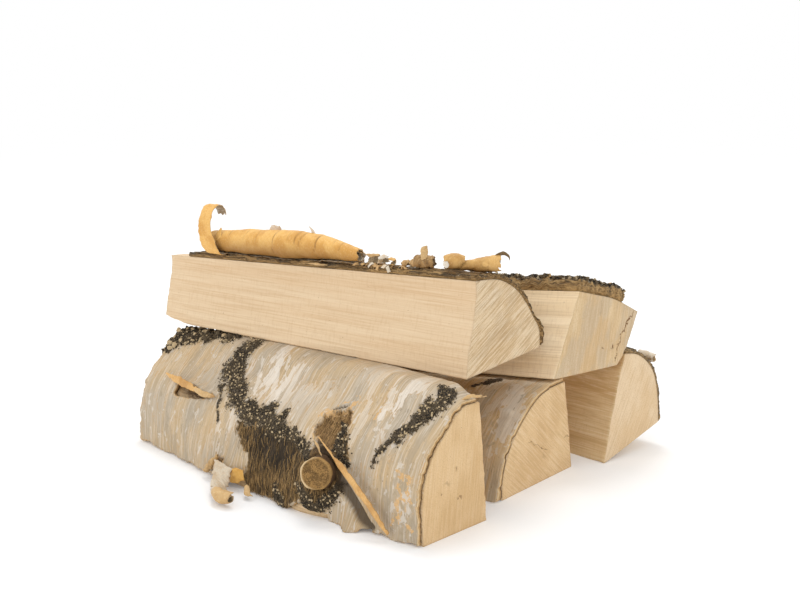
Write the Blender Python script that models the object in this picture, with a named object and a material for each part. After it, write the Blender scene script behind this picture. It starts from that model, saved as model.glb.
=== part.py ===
"""A stack of five split birch logs: three side by side on the ground and two on top of them.

Metres, +Z up. A log is modelled in its own frame: its near sawn end at x = 0, its far end at
x = -length, its section across (Y) and up (Z) from its lower left edge. Sections are given in
millimetres. The finished stack stands on z = 0 with the middle of its plan over the origin.
"""
import math
from dataclasses import dataclass

import bmesh
import bpy
import numpy as np
from mathutils import Vector, noise

MM = 0.001
# Touching pieces keep this gap, and the logs' bark stays this far above the ground
GAP = 0.3 * MM
BARK_CLEARANCE = 0.6 * MM
LOG_LENGTH = 338 * MM
TOP_LOG_LENGTH = 336 * MM
# The top log's lower edge, which the front log's bark ridge is pressed flat under
TOP_LOG_HEIGHT = 100 * MM
# Thickness of the loose bark: the papery rolls, the small curls, the torn tongue, the thick scrap
SHEET = 1.0 * MM
THIN_SHEET = 0.8 * MM
HOOK_SHEET = 1.2 * MM
TONGUE_SHEET = 3.0 * MM
SCRAP_SHEET = 1.6 * MM
# From one layer of a roll to the next, in mm
LAYER_SPACING = 2.2


@dataclass
class Side:
    """One side of a section: "bark" is round, "split" is uneven wood, "flat" stays a plane."""
    kind: str
    points: tuple
    steps: int


@dataclass
class Log:
    """A split log: its near section and how that changes on the way to the far end.

    The far end is far_scale as large, turned by twist and lifted by far_lift. At mid-length the log
    is wider by the share in belly. The near cut is cut_skew off square. Each bump is a swelling of
    the bark side: distance from the near end, share of the side, height, and its reach both ways.
    """
    name: str
    sides: tuple
    place: tuple
    stations: int
    roll: float = 0.0
    pitch: float = 0.0
    yaw: float = 0.0
    length: float = LOG_LENGTH
    far_scale: float = 1.0
    twist: float = 0.0
    belly: float = 0.0
    cut_skew: float = 0.0
    far_lift: float = 0.0
    wave: float = 0.8 * MM
    bumps: tuple = ()


@dataclass
class Skin:
    """The bark on a log: the columns of its bark side that it covers, and how thick it is.

    Its ends and long edges are torn back by up to ragged_end and ragged_edge of a face.
    """
    thickness: object
    first: int = 0
    last: int = -1
    short_of_far_end: int = 0
    ragged_end: float = 0.3
    ragged_edge: float = 0.5
    seed: float = 0.0
    lowest: float = -math.inf
    highest: float = math.inf


FRONT = Log(
    "front_log", (
        Side("bark", ((0, 0), (-1.3, 23), (0, 42), (6, 58), (20, 74), (38, 89), (56, 90)), 12),
        Side("split", ((56, 90), (60.5, 50), (65.5, 0)), 4),
        Side("flat", ((65.5, 0), (0, 0)), 3)),
    place=(0.1849, -0.1428, 0.0), stations=26, far_scale=0.97, belly=0.16,
    bumps=((190, 0.0, 13, 110, 40), (105, 0.0, 8, 35, 40)))
MIDDLE = Log(
    "middle_log", (
        Side("bark", ((0, 0), (0.5, 17), (8, 36), (24, 54), (46, 69), (66, 74), (86, 75)), 10),
        Side("split", ((86, 75), (92, 45), (97, 20), (100, 0)), 4),
        Side("flat", ((100, 0), (0, 0)), 3)),
    place=(0.1690, -0.0396, 0.0), stations=16, yaw=4.5, far_scale=0.745)
RIGHT = Log(
    "right_log", (
        Side("split", ((0, 0), (8, 39), (16.5, 69), (22.9, 90)), 5),
        Side("bark", ((22.9, 90), (38, 87.5), (52, 80), (64, 67.5), (70.5, 50), (73.5, 32), (73.9, 21)), 9),
        Side("flat", ((73.9, 21), (0, 0)), 3)),
    place=(0.1764, 0.0856, 0.0), stations=16, yaw=-4.1, twist=-math.degrees(math.atan2(21, 73.9)))
TOP = Log(
    "top_log", (
        Side("split", ((0, 0), (2.3, 15.5), (8, 40), (11, 60), (10.4, 70)), 5),
        Side("bark", ((10.4, 70), (34, 68.6), (51, 63.5), (66, 55), (78, 44), (88, 32), (97, 21),
                      (98.5, 6.2)), 10),
        Side("flat", ((98.5, 6.2), (0, 0)), 4)),
    place=(0.1631, -0.0756, TOP_LOG_HEIGHT), stations=18, yaw=5.2, length=TOP_LOG_LENGTH, far_scale=0.84,
    far_lift=5 * MM, wave=0.5 * MM)
REAR = Log(
    "rear_log", (
        Side("split", ((0, 0), (14, 34), (28, 66.9)), 4),
        Side("bark", ((28, 66.9), (46, 62.1), (61, 58), (72, 53.3), (81, 48.5), (91, 42.9)), 7),
        Side("split", ((91, 42.9), (82, 24), (75, 10.4), (67, 1.2)), 3),
        Side("flat", ((67, 1.2), (38, 0.6), (0, 0)), 3)),
    place=(0.1646, 0.0281, 0.0806), stations=16, roll=-1.2, pitch=-3.5, yaw=11.05,
    far_scale=0.92, cut_skew=-20.8)

# The front log's knot, a sawn branch stub that leans out towards the near end
KNOT_FACE = Vector((-87, -22, 36)) * MM
KNOT_DIRECTION = Vector((0.42, -0.88, 0.2)).normalized()
KNOT_RADIUS = 11.3 * MM
KNOT_LENGTH = 26 * MM
KNOT_HOLE_PAST_FACE = 20 * MM

# Strips of torn bark: spine and widths in mm in their log's frame, width direction at each end
PEELED_STRIP = dict(
    spine=((-102, -5.3, 56), (-84, -13.6, 52), (-61, -22.5, 45.5), (-43, -20.1, 27), (-26, -13.9, 8)),
    widths=(4, 5, 5, 6.5, 5), directions=((0.62, 0, 0.78), (0.62, 0, 0.78)), rows=12, columns=2)
TONGUE = dict(
    spine=((-205, -19.6, 14), (-201, -25, 12), (-192, -33, 9), (-181, -42, 5), (-172, -48, 3)),
    widths=(18, 18, 14, 11, 10), directions=((0.9, 0.05, -0.3), (0.7, 0.7, -0.1)), rows=6, columns=3)

# Rolled-up bark: the ends of its axis and its outer radii in mm in its log's frame
BIG_ROLL = dict(ends=((-290, 14, 78.8), (-112, 14, 84.4)), turns=1.55, first_angle=-95, rows=10,
                radii=(9.6, 10.2, 10.9, 11.3, 11.2, 10.6, 10.6, 9.4, 6.5))
SHORT_ROLL = dict(ends=((-34, 14, 82.6), (2, 42, 80.6)), radii=(6.0, 6.4, 6.0, 4.5), turns=1.4,
                  first_angle=-95, rows=5, per_turn=10)
SHREDS = (((-107, 15, 77.0), (-97, 19, 77.4), 4.0), ((-95, 13, 76.6), (-87, 19, 77.0), 3.2),
          ((-85, 16, 76.7), (-76, 12, 77.1), 3.0))
SHRED_CURL = dict(turns=0.7, first_angle=-120, rows=3, per_turn=10)
SCRAP = dict(ends=((-62, 12, 81.6), (-40, 20, 82.0)), radii=(5.5, 7.0, 5.0), turns=0.8,
             first_angle=-140, rows=5)
RIGHT_CURL = dict(ends=((-15, 63.9, 81.1), (-1, 65.5, 80.1)), radii=(4.8, 4.4), turns=1.1,
                  first_angle=200, rows=3, per_turn=10)

# The strip that stands up at the big roll's far end and hooks over: its line in (across, up)
HOOK_LINE = ((12, 73), (5, 70.5), (-1, 79), (-1, 92), (4, 103), (11, 107.5), (17, 104), (18.5, 98))
HOOK_STEPS = 16
HOOK_EDGES = (-272, -285)
HOOK_LEAN = ((0, 7, 16), (-6, 0, 1))


def clear_scene():
    for old in list(bpy.data.objects):
        bpy.data.objects.remove(old, do_unlink=True)


def principled(name, colour, roughness=0.85):
    """A dull material in one colour, given as sRGB parts of 255."""
    linear = [((c / 255 + 0.055) / 1.055) ** 2.4 for c in colour]
    material = bpy.data.materials.new(name)
    material.use_nodes = True
    shader = material.node_tree.nodes["Principled BSDF"]
    shader.inputs["Base Color"].default_value = (*linear, 1.0)
    shader.inputs["Roughness"].default_value = roughness
    shader.inputs["Metallic"].default_value = 0.0
    return material


def curve_through(points, steps):
    """Evenly spaced points on a smooth curve through the given ones, both ends included."""
    knots = np.array([points[0], *points, points[-1]], float)
    dense = []
    for k in range(1, len(knots) - 2):
        a, b, c, d = knots[k - 1:k + 3]
        for u in np.linspace(0, 1, 12, endpoint=False):
            bend = (2 * a - 5 * b + 4 * c - d) * u ** 2 + (3 * b - a - 3 * c + d) * u ** 3
            dense.append(0.5 * (2 * b + (c - a) * u + bend))
    dense = np.array(dense + [knots[-2]])
    walked = np.concatenate([[0], np.cumsum(np.linalg.norm(np.diff(dense, axis=0), axis=1))])
    wanted = np.linspace(0, walked[-1], steps + 1)
    return np.column_stack([np.interp(wanted, walked, column) for column in dense.T])


def rough(x, y, seed):
    """Smooth unevenness between about -1 and 1."""
    return noise.noise(Vector((x, y, seed))) * 1.6


def outward(line):
    """Unit directions out of a section line that runs up the left side and over to the right."""
    along = np.gradient(line, axis=0)
    out = np.column_stack([-along[:, 1], along[:, 0]])
    return out / np.linalg.norm(out, axis=1)[:, None]


def side_line(log, side, t):
    """One side of the section at the share t of the length, with its waves and bumps, in metres."""
    line = curve_through(side.points, side.steps) * MM
    share = np.linspace(0, 1, side.steps + 1)
    height = np.zeros(side.steps + 1)
    if side.kind == "split":
        ridges = [rough(9 * s, 1.5 * t, len(log.name)) for s in share]
        height += log.wave * np.array(ridges) * np.sin(np.pi * share)
    if side.kind == "bark":
        distance = t * log.length / MM
        girth = np.linalg.norm(np.diff(line, axis=0), axis=1).sum() / MM
        for along, middle, high, long_reach, round_reach in log.bumps:
            away = np.hypot((distance - along) / long_reach, (share - middle) * girth / round_reach)
            height += high * MM * np.exp(-away ** 2)
    moved = line + outward(line) * height[:, None]
    if side.kind == "bark" and log.bumps:
        moved[0, 1] = 0.0
    return moved


def in_log(log, t, line):
    """Section points (across, up) at the share t of the length, as points in the log's frame."""
    scale = 1 + (log.far_scale - 1) * t
    across = line[:, 0] * scale * (1 + log.belly * math.sin(math.pi * t))
    up = line[:, 1] * scale
    turn = math.radians(log.twist) * t
    y = across * math.cos(turn) - up * math.sin(turn)
    z = across * math.sin(turn) + up * math.cos(turn)
    late = max(0.0, (t - 0.88) / 0.12)
    z = z + log.far_lift * late ** 2 * np.clip(1 - up / (50 * MM), 0, 1)
    x = -log.length * t - (1 - t) * y * math.tan(math.radians(log.cut_skew))
    return np.column_stack([x, y, z])


def wood_grid(log, kind=None):
    """The log's surface as rows of points from the near end, all round or for one kind of side."""
    rows = []
    for t in np.linspace(0, 1, log.stations + 1):
        parts = []
        for side in log.sides:
            line = side_line(log, side, t)
            if kind is None:
                parts.append(line[:-1])
            elif side.kind == kind:
                parts.append(line)
        rows.append(in_log(log, t, np.concatenate(parts)))
    return np.array(rows)


def grid_normals(grid):
    """Unit normals of a grid whose rows run along and whose columns run round."""
    along = np.gradient(grid, axis=0)
    round_ = np.gradient(grid, axis=1)
    normals = np.cross(round_, along)
    return normals / np.linalg.norm(normals, axis=2)[:, :, None]


def add_mesh(name, points, faces, material, parent):
    mesh = bpy.data.meshes.new(name)
    mesh.from_pydata([tuple(p) for p in points], [], faces)
    work = bmesh.new()
    work.from_mesh(mesh)
    bmesh.ops.recalc_face_normals(work, faces=work.faces)
    bmesh.ops.triangulate(work, faces=work.faces)
    work.to_mesh(mesh)
    work.free()
    mesh.materials.append(material)
    made = bpy.data.objects.new(name, mesh)
    made.parent = parent
    bpy.context.scene.collection.objects.link(made)
    return made


def ring_solid(name, grid, material, parent):
    """A solid from rows of closed rings, with a face over each end."""
    rows, count = grid.shape[:2]
    faces = [(i * count + j, i * count + (j + 1) % count,
              (i + 1) * count + (j + 1) % count, (i + 1) * count + j)
             for i in range(rows - 1) for j in range(count)]
    faces.append(tuple(reversed(range(count))))
    faces.append(tuple((rows - 1) * count + j for j in range(count)))
    return add_mesh(name, grid.reshape(-1, 3), faces, material, parent)


def shell_solid(name, outer, inner, material, parent):
    """A closed sheet between two grids of the same size."""
    rows, count = outer.shape[:2]
    other = rows * count
    faces = []
    for i in range(rows - 1):
        for j in range(count - 1):
            a = i * count + j
            quad = (a, a + 1, a + count + 1, a + count)
            faces.append(quad)
            faces.append(tuple(other + k for k in reversed(quad)))
    rim = [j for j in range(count)]
    rim += [i * count + count - 1 for i in range(1, rows)]
    rim += [(rows - 1) * count + j for j in range(count - 2, -1, -1)]
    rim += [i * count for i in range(rows - 2, 0, -1)]
    for here, there in zip(rim, rim[1:] + rim[:1]):
        faces.append((there, here, other + here, other + there))
    points = np.concatenate([outer.reshape(-1, 3), inner.reshape(-1, 3)])
    return add_mesh(name, points, faces, material, parent)


def thick_sheet(name, grid, material, parent, thickness=SHEET):
    """A sheet of even thickness round a grid of its middle surface."""
    offset = grid_normals(grid) * thickness / 2
    return shell_solid(name, grid + offset, grid - offset, material, parent)


def ribbon_grid(spine, widths, directions, rows, columns):
    """The middle surface of a strip: its spine and widths in mm, its width direction at each end."""
    middle = curve_through(spine, rows)
    places = np.linspace(0, 1, rows + 1)
    wide = np.interp(places, np.linspace(0, 1, len(widths)), widths)
    start, end = (np.array(d) / np.linalg.norm(d) for d in directions)
    grid = [[middle[i] + (start + (end - start) * places[i]) * wide[i] * (j / columns - 0.5)
             for j in range(columns + 1)] for i in range(rows + 1)]
    return np.array(grid) * MM


def curl_grid(ends, radii, turns, first_angle, rows, per_turn=12):
    """The middle surface of a rolled-up sheet: the ends of its axis and its outer radii, in mm."""
    start, end = (np.array(point, float) for point in ends)
    along = (end - start) / np.linalg.norm(end - start)
    side = np.cross((0, 0, 1), along)
    side /= np.linalg.norm(side)
    top = np.cross(along, side)
    angles = np.linspace(0, 2 * math.pi * turns, int(per_turn * turns) + 1)
    grid = []
    for place in np.linspace(0, 1, rows + 1):
        radius = np.interp(place, np.linspace(0, 1, len(radii)), radii)
        centre = start + (end - start) * place
        ring = []
        for angle in angles:
            turned = math.radians(first_angle) + angle
            r = radius - LAYER_SPACING * angle / (2 * math.pi)
            ring.append(centre + r * (side * math.cos(turned) + top * math.sin(turned)))
        grid.append(ring)
    return np.array(grid) * MM


def pull_in(edge, neighbour, shares):
    return edge + (neighbour - edge) * np.array(shares)[:, None]


def bark_shell(log, skin, material, parent):
    """The bark over the wood's bark side, following the same rows and columns with a small gap."""
    grid = wood_grid(log, "bark")
    last = grid.shape[1] + skin.last + 1 if skin.last < 0 else skin.last + 1
    grid = grid[:, skin.first:last]
    normals = grid_normals(grid)
    if skin.short_of_far_end:
        grid = grid[:-skin.short_of_far_end]
        normals = normals[:-skin.short_of_far_end]
    rows, count = grid.shape[:2]
    step = log.length / log.stations / MM
    girth = np.linalg.norm(np.diff(grid[0], axis=0), axis=1).sum() / MM
    thick = np.array([[skin.thickness(i * step, j / (count - 1) * girth, j / (count - 1))
                       for j in range(count)] for i in range(rows)]) * MM
    inner = grid + normals * GAP
    outer = grid + normals * (GAP + thick[:, :, None])
    end = [[skin.ragged_end * (0.5 + 0.5 * rough(j * 0.9, at, skin.seed)) for j in range(count)]
           for at in (3.1, 7.7)]
    edge = [[skin.ragged_edge * (0.5 + 0.5 * rough(i * 0.8, at, skin.seed)) for i in range(rows)]
            for at in (13.3, 17.9)]
    for layer in (inner, outer):
        layer[:, :, 2] = np.clip(layer[:, :, 2], skin.lowest, skin.highest)
        layer[:, 0] = pull_in(layer[:, 0], layer[:, 1], edge[0])
        layer[:, -1] = pull_in(layer[:, -1], layer[:, -2], edge[1])
        layer[0] = pull_in(layer[0], layer[1], end[0])
        layer[-1] = pull_in(layer[-1], layer[-2], end[1])
    return shell_solid(f"{log.name}_bark", outer, inner, material, parent)


def log_frame(log, stack):
    """The empty at a log's near lower left edge, which its pieces hang on."""
    frame = bpy.data.objects.new(f"{log.name}_frame", None)
    frame.location = log.place
    frame.rotation_euler = [math.radians(turn) for turn in (log.roll, log.pitch, log.yaw)]
    frame.parent = stack
    bpy.context.scene.collection.objects.link(frame)
    return frame


def knot_cylinder(name, radius, past_face, parent):
    """A short cylinder along the branch stub, rooted in the wood."""
    mesh = bpy.data.meshes.new(name)
    work = bmesh.new()
    bmesh.ops.create_cone(work, cap_ends=True, segments=18, radius1=radius * 1.12, radius2=radius,
                          depth=KNOT_LENGTH + past_face)
    work.to_mesh(mesh)
    work.free()
    cylinder = bpy.data.objects.new(name, mesh)
    cylinder.parent = parent
    cylinder.rotation_euler = KNOT_DIRECTION.to_track_quat("Z", "Y").to_euler()
    cylinder.location = KNOT_FACE + KNOT_DIRECTION * (past_face - KNOT_LENGTH) / 2
    cylinder.hide_render = True
    cylinder.display_type = "WIRE"
    bpy.context.scene.collection.objects.link(cylinder)
    return cylinder


def combine(target, tool, operation):
    """One Boolean, applied, after which the tool is gone."""
    modifier = target.modifiers.new(operation.title(), "BOOLEAN")
    modifier.operation = operation
    modifier.solver = "EXACT"
    modifier.object = tool
    bpy.context.view_layer.update()
    evaluated = target.evaluated_get(bpy.context.evaluated_depsgraph_get())
    made = bpy.data.meshes.new_from_object(evaluated)
    target.modifiers.clear()
    target.data = made
    bpy.data.objects.remove(tool, do_unlink=True)


def front_thickness(distance, round_, share):
    """Front bark in mm: thin papery sides, a thick crusty ridge, a collar round the knot."""
    ridge = 7.0 * np.clip((share - 0.72) / 0.2, 0, 1) * np.clip((330 - distance) / 90, 0.3, 1)
    crust = 1.2 * max(0.0, rough(distance / 11, round_ / 9, 2.0)) * (0.3 + share)
    away = math.hypot(distance - 95, (round_ - 36) * 1.1)
    collar = 4.5 * math.exp(-(away / 17) ** 2)
    return 3.6 + ridge + crust + collar


def middle_thickness(distance, round_, share):
    """Middle bark in mm: it stands off the wood at the ground and thins towards the top."""
    return 3.2 + 5.0 * max(0.0, 0.12 - share) / 0.12 + 0.5 * rough(distance / 24, round_ / 15, 5.0)


def right_thickness(distance, round_, share):
    return 3.2 + 0.9 * rough(distance / 15, round_ / 10, 8.0) + 4.2 * max(0.0, 0.2 - share) / 0.2


def top_thickness(distance, round_, share):
    """Top log in mm: fibrous inner bark with low ridges along the log."""
    tip = 3.5 * np.clip((share - 0.8) / 0.12, 0, 1) * np.clip((40 - distance) / 30, 0, 1)
    return 5.8 + 1.2 * rough(distance / 30, round_ / 6, 11.0) + tip


def rear_thickness(distance, round_, share):
    """Rear log in mm: a heavy inner bark under a black, deeply cracked crust."""
    crack = 2.6 * rough(distance / 13, round_ / 11, 14.0)
    return 12.5 - 2.5 * share + crack


def build_front(stack, split_wood, white_bark, peel):
    frame = log_frame(FRONT, stack)
    wood = ring_solid("front_log_wood", wood_grid(FRONT), split_wood, frame)
    skin = Skin(front_thickness, seed=1.5, lowest=BARK_CLEARANCE, highest=TOP_LOG_HEIGHT - GAP)
    bark = bark_shell(FRONT, skin, white_bark, frame)
    combine(wood, knot_cylinder("knot", KNOT_RADIUS, 0, frame), "UNION")
    hole = knot_cylinder("knot_hole", KNOT_RADIUS + GAP, KNOT_HOLE_PAST_FACE, frame)
    combine(bark, hole, "DIFFERENCE")
    thick_sheet("front_log_peeled_strip", ribbon_grid(**PEELED_STRIP), peel, frame)
    thick_sheet("front_log_bark_tongue", ribbon_grid(**TONGUE), peel, frame, TONGUE_SHEET)



def build_roll(frame, peel):
    """The big bark roll on the top log, with the strip that stands up at its far end."""
    roll = thick_sheet("top_log_bark_roll", curl_grid(**BIG_ROLL), peel, frame)
    lean = np.interp(np.arange(HOOK_STEPS + 1), *HOOK_LEAN)
    line = curve_through(HOOK_LINE, HOOK_STEPS)
    rows = [np.column_stack([edge + lean, line]) for edge in HOOK_EDGES]
    hook = thick_sheet("hook", np.array(rows) * MM, peel, frame, HOOK_SHEET)
    combine(roll, hook, "UNION")


def build_top(stack, split_wood, inner_bark, peel, crust):
    skin = Skin(top_thickness, seed=4.5, short_of_far_end=1)
    frame = build_log(TOP, skin, stack, split_wood, inner_bark)
    build_roll(frame, peel)
    thick_sheet("top_log_short_roll", curl_grid(**SHORT_ROLL), peel, frame)
    for number, (start, end, radius) in enumerate(SHREDS, 1):
        curl = curl_grid((start, end), (radius, radius * 0.8), **SHRED_CURL)
        thick_sheet(f"top_log_shred_{number}", curl, peel, frame, THIN_SHEET)
    thick_sheet("top_log_bark_scrap", curl_grid(**SCRAP), crust, frame, SCRAP_SHEET)


def build_right(stack, split_wood, inner_bark, white_bark):
    skin = Skin(right_thickness, seed=3.5, lowest=BARK_CLEARANCE)
    frame = build_log(RIGHT, skin, stack, split_wood, inner_bark)
    thick_sheet("right_log_bark_curl", curl_grid(**RIGHT_CURL), white_bark, frame, THIN_SHEET)


def build_log(log, skin, stack, split_wood, bark_material):
    frame = log_frame(log, stack)
    ring_solid(f"{log.name}_wood", wood_grid(log), split_wood, frame)
    bark_shell(log, skin, bark_material, frame)
    return frame


def stand_on_origin(stack):
    """Move the whole stack so that the middle of its plan is over the origin."""
    bpy.context.view_layer.update()
    corners = [thing.matrix_world @ vertex.co for thing in bpy.data.objects if thing.type == "MESH"
               for vertex in thing.data.vertices]
    middle_x = (min(p.x for p in corners) + max(p.x for p in corners)) / 2
    middle_y = (min(p.y for p in corners) + max(p.y for p in corners)) / 2
    stack.location = (-middle_x, -middle_y, 0)


def build():
    clear_scene()
    stack = bpy.data.objects.new("stack", None)
    bpy.context.scene.collection.objects.link(stack)
    split_wood = principled("split_wood", (228, 203, 163))
    white_bark = principled("white_bark", (205, 196, 184))
    inner_bark = principled("inner_bark", (128, 98, 62))
    peel = principled("peel", (233, 178, 104), 0.6)
    crust = principled("crust", (70, 60, 50))
    build_front(stack, split_wood, white_bark, peel)
    build_log(MIDDLE, Skin(middle_thickness, seed=2.5, lowest=BARK_CLEARANCE), stack, split_wood, white_bark)
    build_right(stack, split_wood, inner_bark, white_bark)
    build_top(stack, split_wood, inner_bark, peel, crust)
    build_log(REAR, Skin(rear_thickness, last=5, seed=5.5), stack, split_wood, inner_bark)
    stand_on_origin(stack)


build()
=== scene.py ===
"""A stack of five split birch logs with their bark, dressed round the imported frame.

Metres, +Z up. Each log is shaped in its own frame: its near sawn end at x = 0, its far end at
x = -length, its section across (Y) and up (Z) from its lower left edge. Sections are in millimetres.
"""
import math

import bpy
import numpy as np
from mathutils import Euler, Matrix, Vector, noise


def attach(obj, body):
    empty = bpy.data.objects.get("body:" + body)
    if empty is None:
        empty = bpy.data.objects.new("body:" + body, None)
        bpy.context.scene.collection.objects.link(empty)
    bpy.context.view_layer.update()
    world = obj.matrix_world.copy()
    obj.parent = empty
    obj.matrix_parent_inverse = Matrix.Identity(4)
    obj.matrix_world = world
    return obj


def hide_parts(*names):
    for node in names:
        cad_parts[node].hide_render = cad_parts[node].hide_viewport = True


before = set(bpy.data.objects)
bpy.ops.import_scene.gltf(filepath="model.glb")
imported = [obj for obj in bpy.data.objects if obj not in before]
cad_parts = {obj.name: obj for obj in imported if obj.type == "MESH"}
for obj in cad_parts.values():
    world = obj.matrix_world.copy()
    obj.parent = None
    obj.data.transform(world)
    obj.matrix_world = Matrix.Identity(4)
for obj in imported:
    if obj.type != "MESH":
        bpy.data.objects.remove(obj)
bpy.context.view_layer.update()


# The camera at the photograph's angle, a white floor, and soft light from all round
view = bpy.data.objects.new("camera", bpy.data.cameras.new("camera"))
view.location = (0.6502, -0.6430, 0.2972)
view.rotation_euler = (math.radians(79.44), 0, math.radians(44.3))
view.data.sensor_width = 36
view.data.lens = 48.285
bpy.context.scene.collection.objects.link(view)
bpy.context.scene.camera = view
bpy.context.scene.view_settings.view_transform = "Standard"

surroundings = bpy.data.worlds.new("studio")
bpy.context.scene.world = surroundings
surroundings.use_nodes = True
surroundings.node_tree.nodes["Background"].inputs["Color"].default_value = (1, 1, 1, 1)
surroundings.node_tree.nodes["Background"].inputs["Strength"].default_value = 1.0


LIGHT_AIM = Vector((0, 0, 0.06))


def soft_light(name, place, size, power):
    lamp = bpy.data.lights.new(name, "AREA")
    lamp.size = size
    lamp.energy = power
    light = bpy.data.objects.new(name, lamp)
    light.location = place
    light.rotation_euler = (LIGHT_AIM - Vector(place)).to_track_quat("-Z", "Y").to_euler()
    bpy.context.scene.collection.objects.link(light)


soft_light("overhead_light", (-0.35, 0.4, 1.9), 0.6, 9)
soft_light("front_light", (-0.6, -2.0, 0.9), 1.2, 4)

FLOOR_REACH = 6
floor_mesh = bpy.data.meshes.new("floor")
corners = [(x * FLOOR_REACH, y * FLOOR_REACH, 0) for x, y in ((-1, -1), (1, -1), (1, 1), (-1, 1))]
floor_mesh.from_pydata(corners, [], [(0, 1, 2, 3)])
floor = bpy.data.objects.new("floor", floor_mesh)
bpy.context.scene.collection.objects.link(floor)
floor_paint = bpy.data.materials.new("white_floor")
floor_paint.use_nodes = True
floor_shader = floor_paint.node_tree.nodes["Principled BSDF"]
floor_shader.inputs["Base Color"].default_value = (0.9, 0.9, 0.9, 1)
floor_shader.inputs["Emission Color"].default_value = (1, 1, 1, 1)
floor_shader.inputs["Emission Strength"].default_value = 0.1
floor_shader.inputs["Roughness"].default_value = 0.9
floor_shader.inputs["Specular IOR Level"].default_value = 0.0
floor_mesh.materials.append(floor_paint)


# The front log's wood: a split birch billet, sawn at both ends, with the sawn stub of a branch.
# It lies on its flat split side, and its other split side faces the middle log.
MM = 0.001
STACK_SHIFT = np.array([0.0376, 0.0169, 0.0]) * MM
LOG_LENGTH = 338

PLAIN_LOG = dict(turns=(0, 0, 0), length=LOG_LENGTH, far_scale=1.0, twist=0.0, belly=0.0, cut_skew=0.0,
                 far_lift=0.0, wave=0.8, bumps=())
FRONT = {**PLAIN_LOG, **dict(
    name="front_log", place=(0.1849, -0.1428, 0.0), far_scale=0.97, belly=0.16,
    bumps=((190, 0.0, 13, 110, 40), (105, 0.0, 8, 35, 40)),
    sides=(("bark", ((0, 0), (-1.3, 23), (0, 42), (6, 58), (20, 74), (38, 89), (56, 90))),
           ("split", ((56, 90), (60.5, 50), (65.5, 0))),
           ("flat", ((65.5, 0), (0, 0)))))}


def curve_through(points, steps):
    """Evenly spaced points on a smooth curve through the given ones, both ends included."""
    knots = np.array([points[0], *points, points[-1]], float)
    dense = []
    for k in range(1, len(knots) - 2):
        a, b, c, d = knots[k - 1:k + 3]
        for u in np.linspace(0, 1, 12, endpoint=False):
            bend = (2 * a - 5 * b + 4 * c - d) * u ** 2 + (3 * b - a - 3 * c + d) * u ** 3
            dense.append(0.5 * (2 * b + (c - a) * u + bend))
    dense = np.array(dense + [knots[-2]])
    walked = np.concatenate([[0], np.cumsum(np.linalg.norm(np.diff(dense, axis=0), axis=1))])
    wanted = np.linspace(0, walked[-1], steps + 1)
    return np.column_stack([np.interp(wanted, walked, column) for column in dense.T])


def rough(x, y, seed):
    """Smooth unevenness between about -1 and 1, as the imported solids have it."""
    x, y = np.broadcast_arrays(x, y)
    values = [noise.noise(Vector((a, b, seed))) for a, b in zip(x.ravel(), y.ravel())]
    return np.array(values).reshape(x.shape) * 1.6


def mottle(x, y, seed, octaves=3):
    """Finer unevenness between about -1 and 1, each octave half as large and half as high."""
    total = np.zeros(np.broadcast(x, y).shape)
    for octave in range(octaves):
        u, v = x * 2 ** octave + 17.3 * octave, y * 2 ** octave + 9.1 * octave
        left, low = np.floor(u), np.floor(v)
        u, v = u - left, v - low
        u, v = u * u * (3 - 2 * u), v * v * (3 - 2 * v)

        def corner(du, dv):
            drawn = np.sin((left + du) * 127.1 + (low + dv) * 311.7 + seed * 74.7) * 43758.5453
            return (drawn - np.floor(drawn)) * 2 - 1
        bottom = corner(0, 0) * (1 - u) + corner(1, 0) * u
        top = corner(0, 1) * (1 - u) + corner(1, 1) * u
        total += (bottom * (1 - v) + top * v) * 0.5 ** octave
    return total


def ease(value, low, high):
    """0 below low, 1 above high, and a smooth step between."""
    share = np.clip((value - low) / (high - low), 0, 1)
    return share * share * (3 - 2 * share)


def side_length(log, side):
    """How far it is round one side of the log at its near end, in millimetres."""
    line = curve_through(log["sides"][side][1], 100)
    return np.linalg.norm(np.diff(line, axis=0), axis=1).sum()


def side_points(log, side, ts, shares):
    """Points of one side of the log, in millimetres, at shares of its length and of the side."""
    kind, points = log["sides"][side]
    line = curve_through(points, 300)
    along_line = np.gradient(line, axis=0)
    out = np.column_stack([-along_line[:, 1], along_line[:, 0]])
    out /= np.linalg.norm(out, axis=1)[:, None]
    base, facing = (np.column_stack([np.interp(shares * 300, np.arange(301), column)
                                     for column in table.T]) for table in (line, out))
    t, share = np.meshgrid(ts, shares, indexing="ij")
    height = np.zeros_like(t)
    if kind == "split":
        height = log["wave"] * rough(9 * share, 1.5 * t, len(log["name"])) * np.sin(np.pi * share)
    girth = side_length(log, side)
    for along, middle, high, long_reach, round_reach in log["bumps"] if kind == "bark" else ():
        away = np.hypot((t * log["length"] - along) / long_reach, (share - middle) * girth / round_reach)
        height = height + high * np.exp(-away ** 2)
    across = base[:, 0] + facing[:, 0] * height
    up = base[:, 1] + facing[:, 1] * height
    if kind == "bark" and log["bumps"]:
        up[:, 0] = 0
    return in_log(log, t, across, up)


def in_log(log, t, across, up):
    """Section places at the share t of the length, as points in the log's frame."""
    scale = 1 + (log["far_scale"] - 1) * t
    across = across * scale * (1 + log["belly"] * np.sin(np.pi * t))
    up = up * scale
    turn = math.radians(log["twist"]) * t
    y = across * np.cos(turn) - up * np.sin(turn)
    z = across * np.sin(turn) + up * np.cos(turn)
    late = np.maximum(0, (t - 0.88) / 0.12)
    z = z + log["far_lift"] * late ** 2 * np.clip(1 - up / 50, 0, 1)
    x = -log["length"] * t - (1 - t) * y * math.tan(math.radians(log["cut_skew"]))
    return np.stack([x, y, z], axis=-1)


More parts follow.
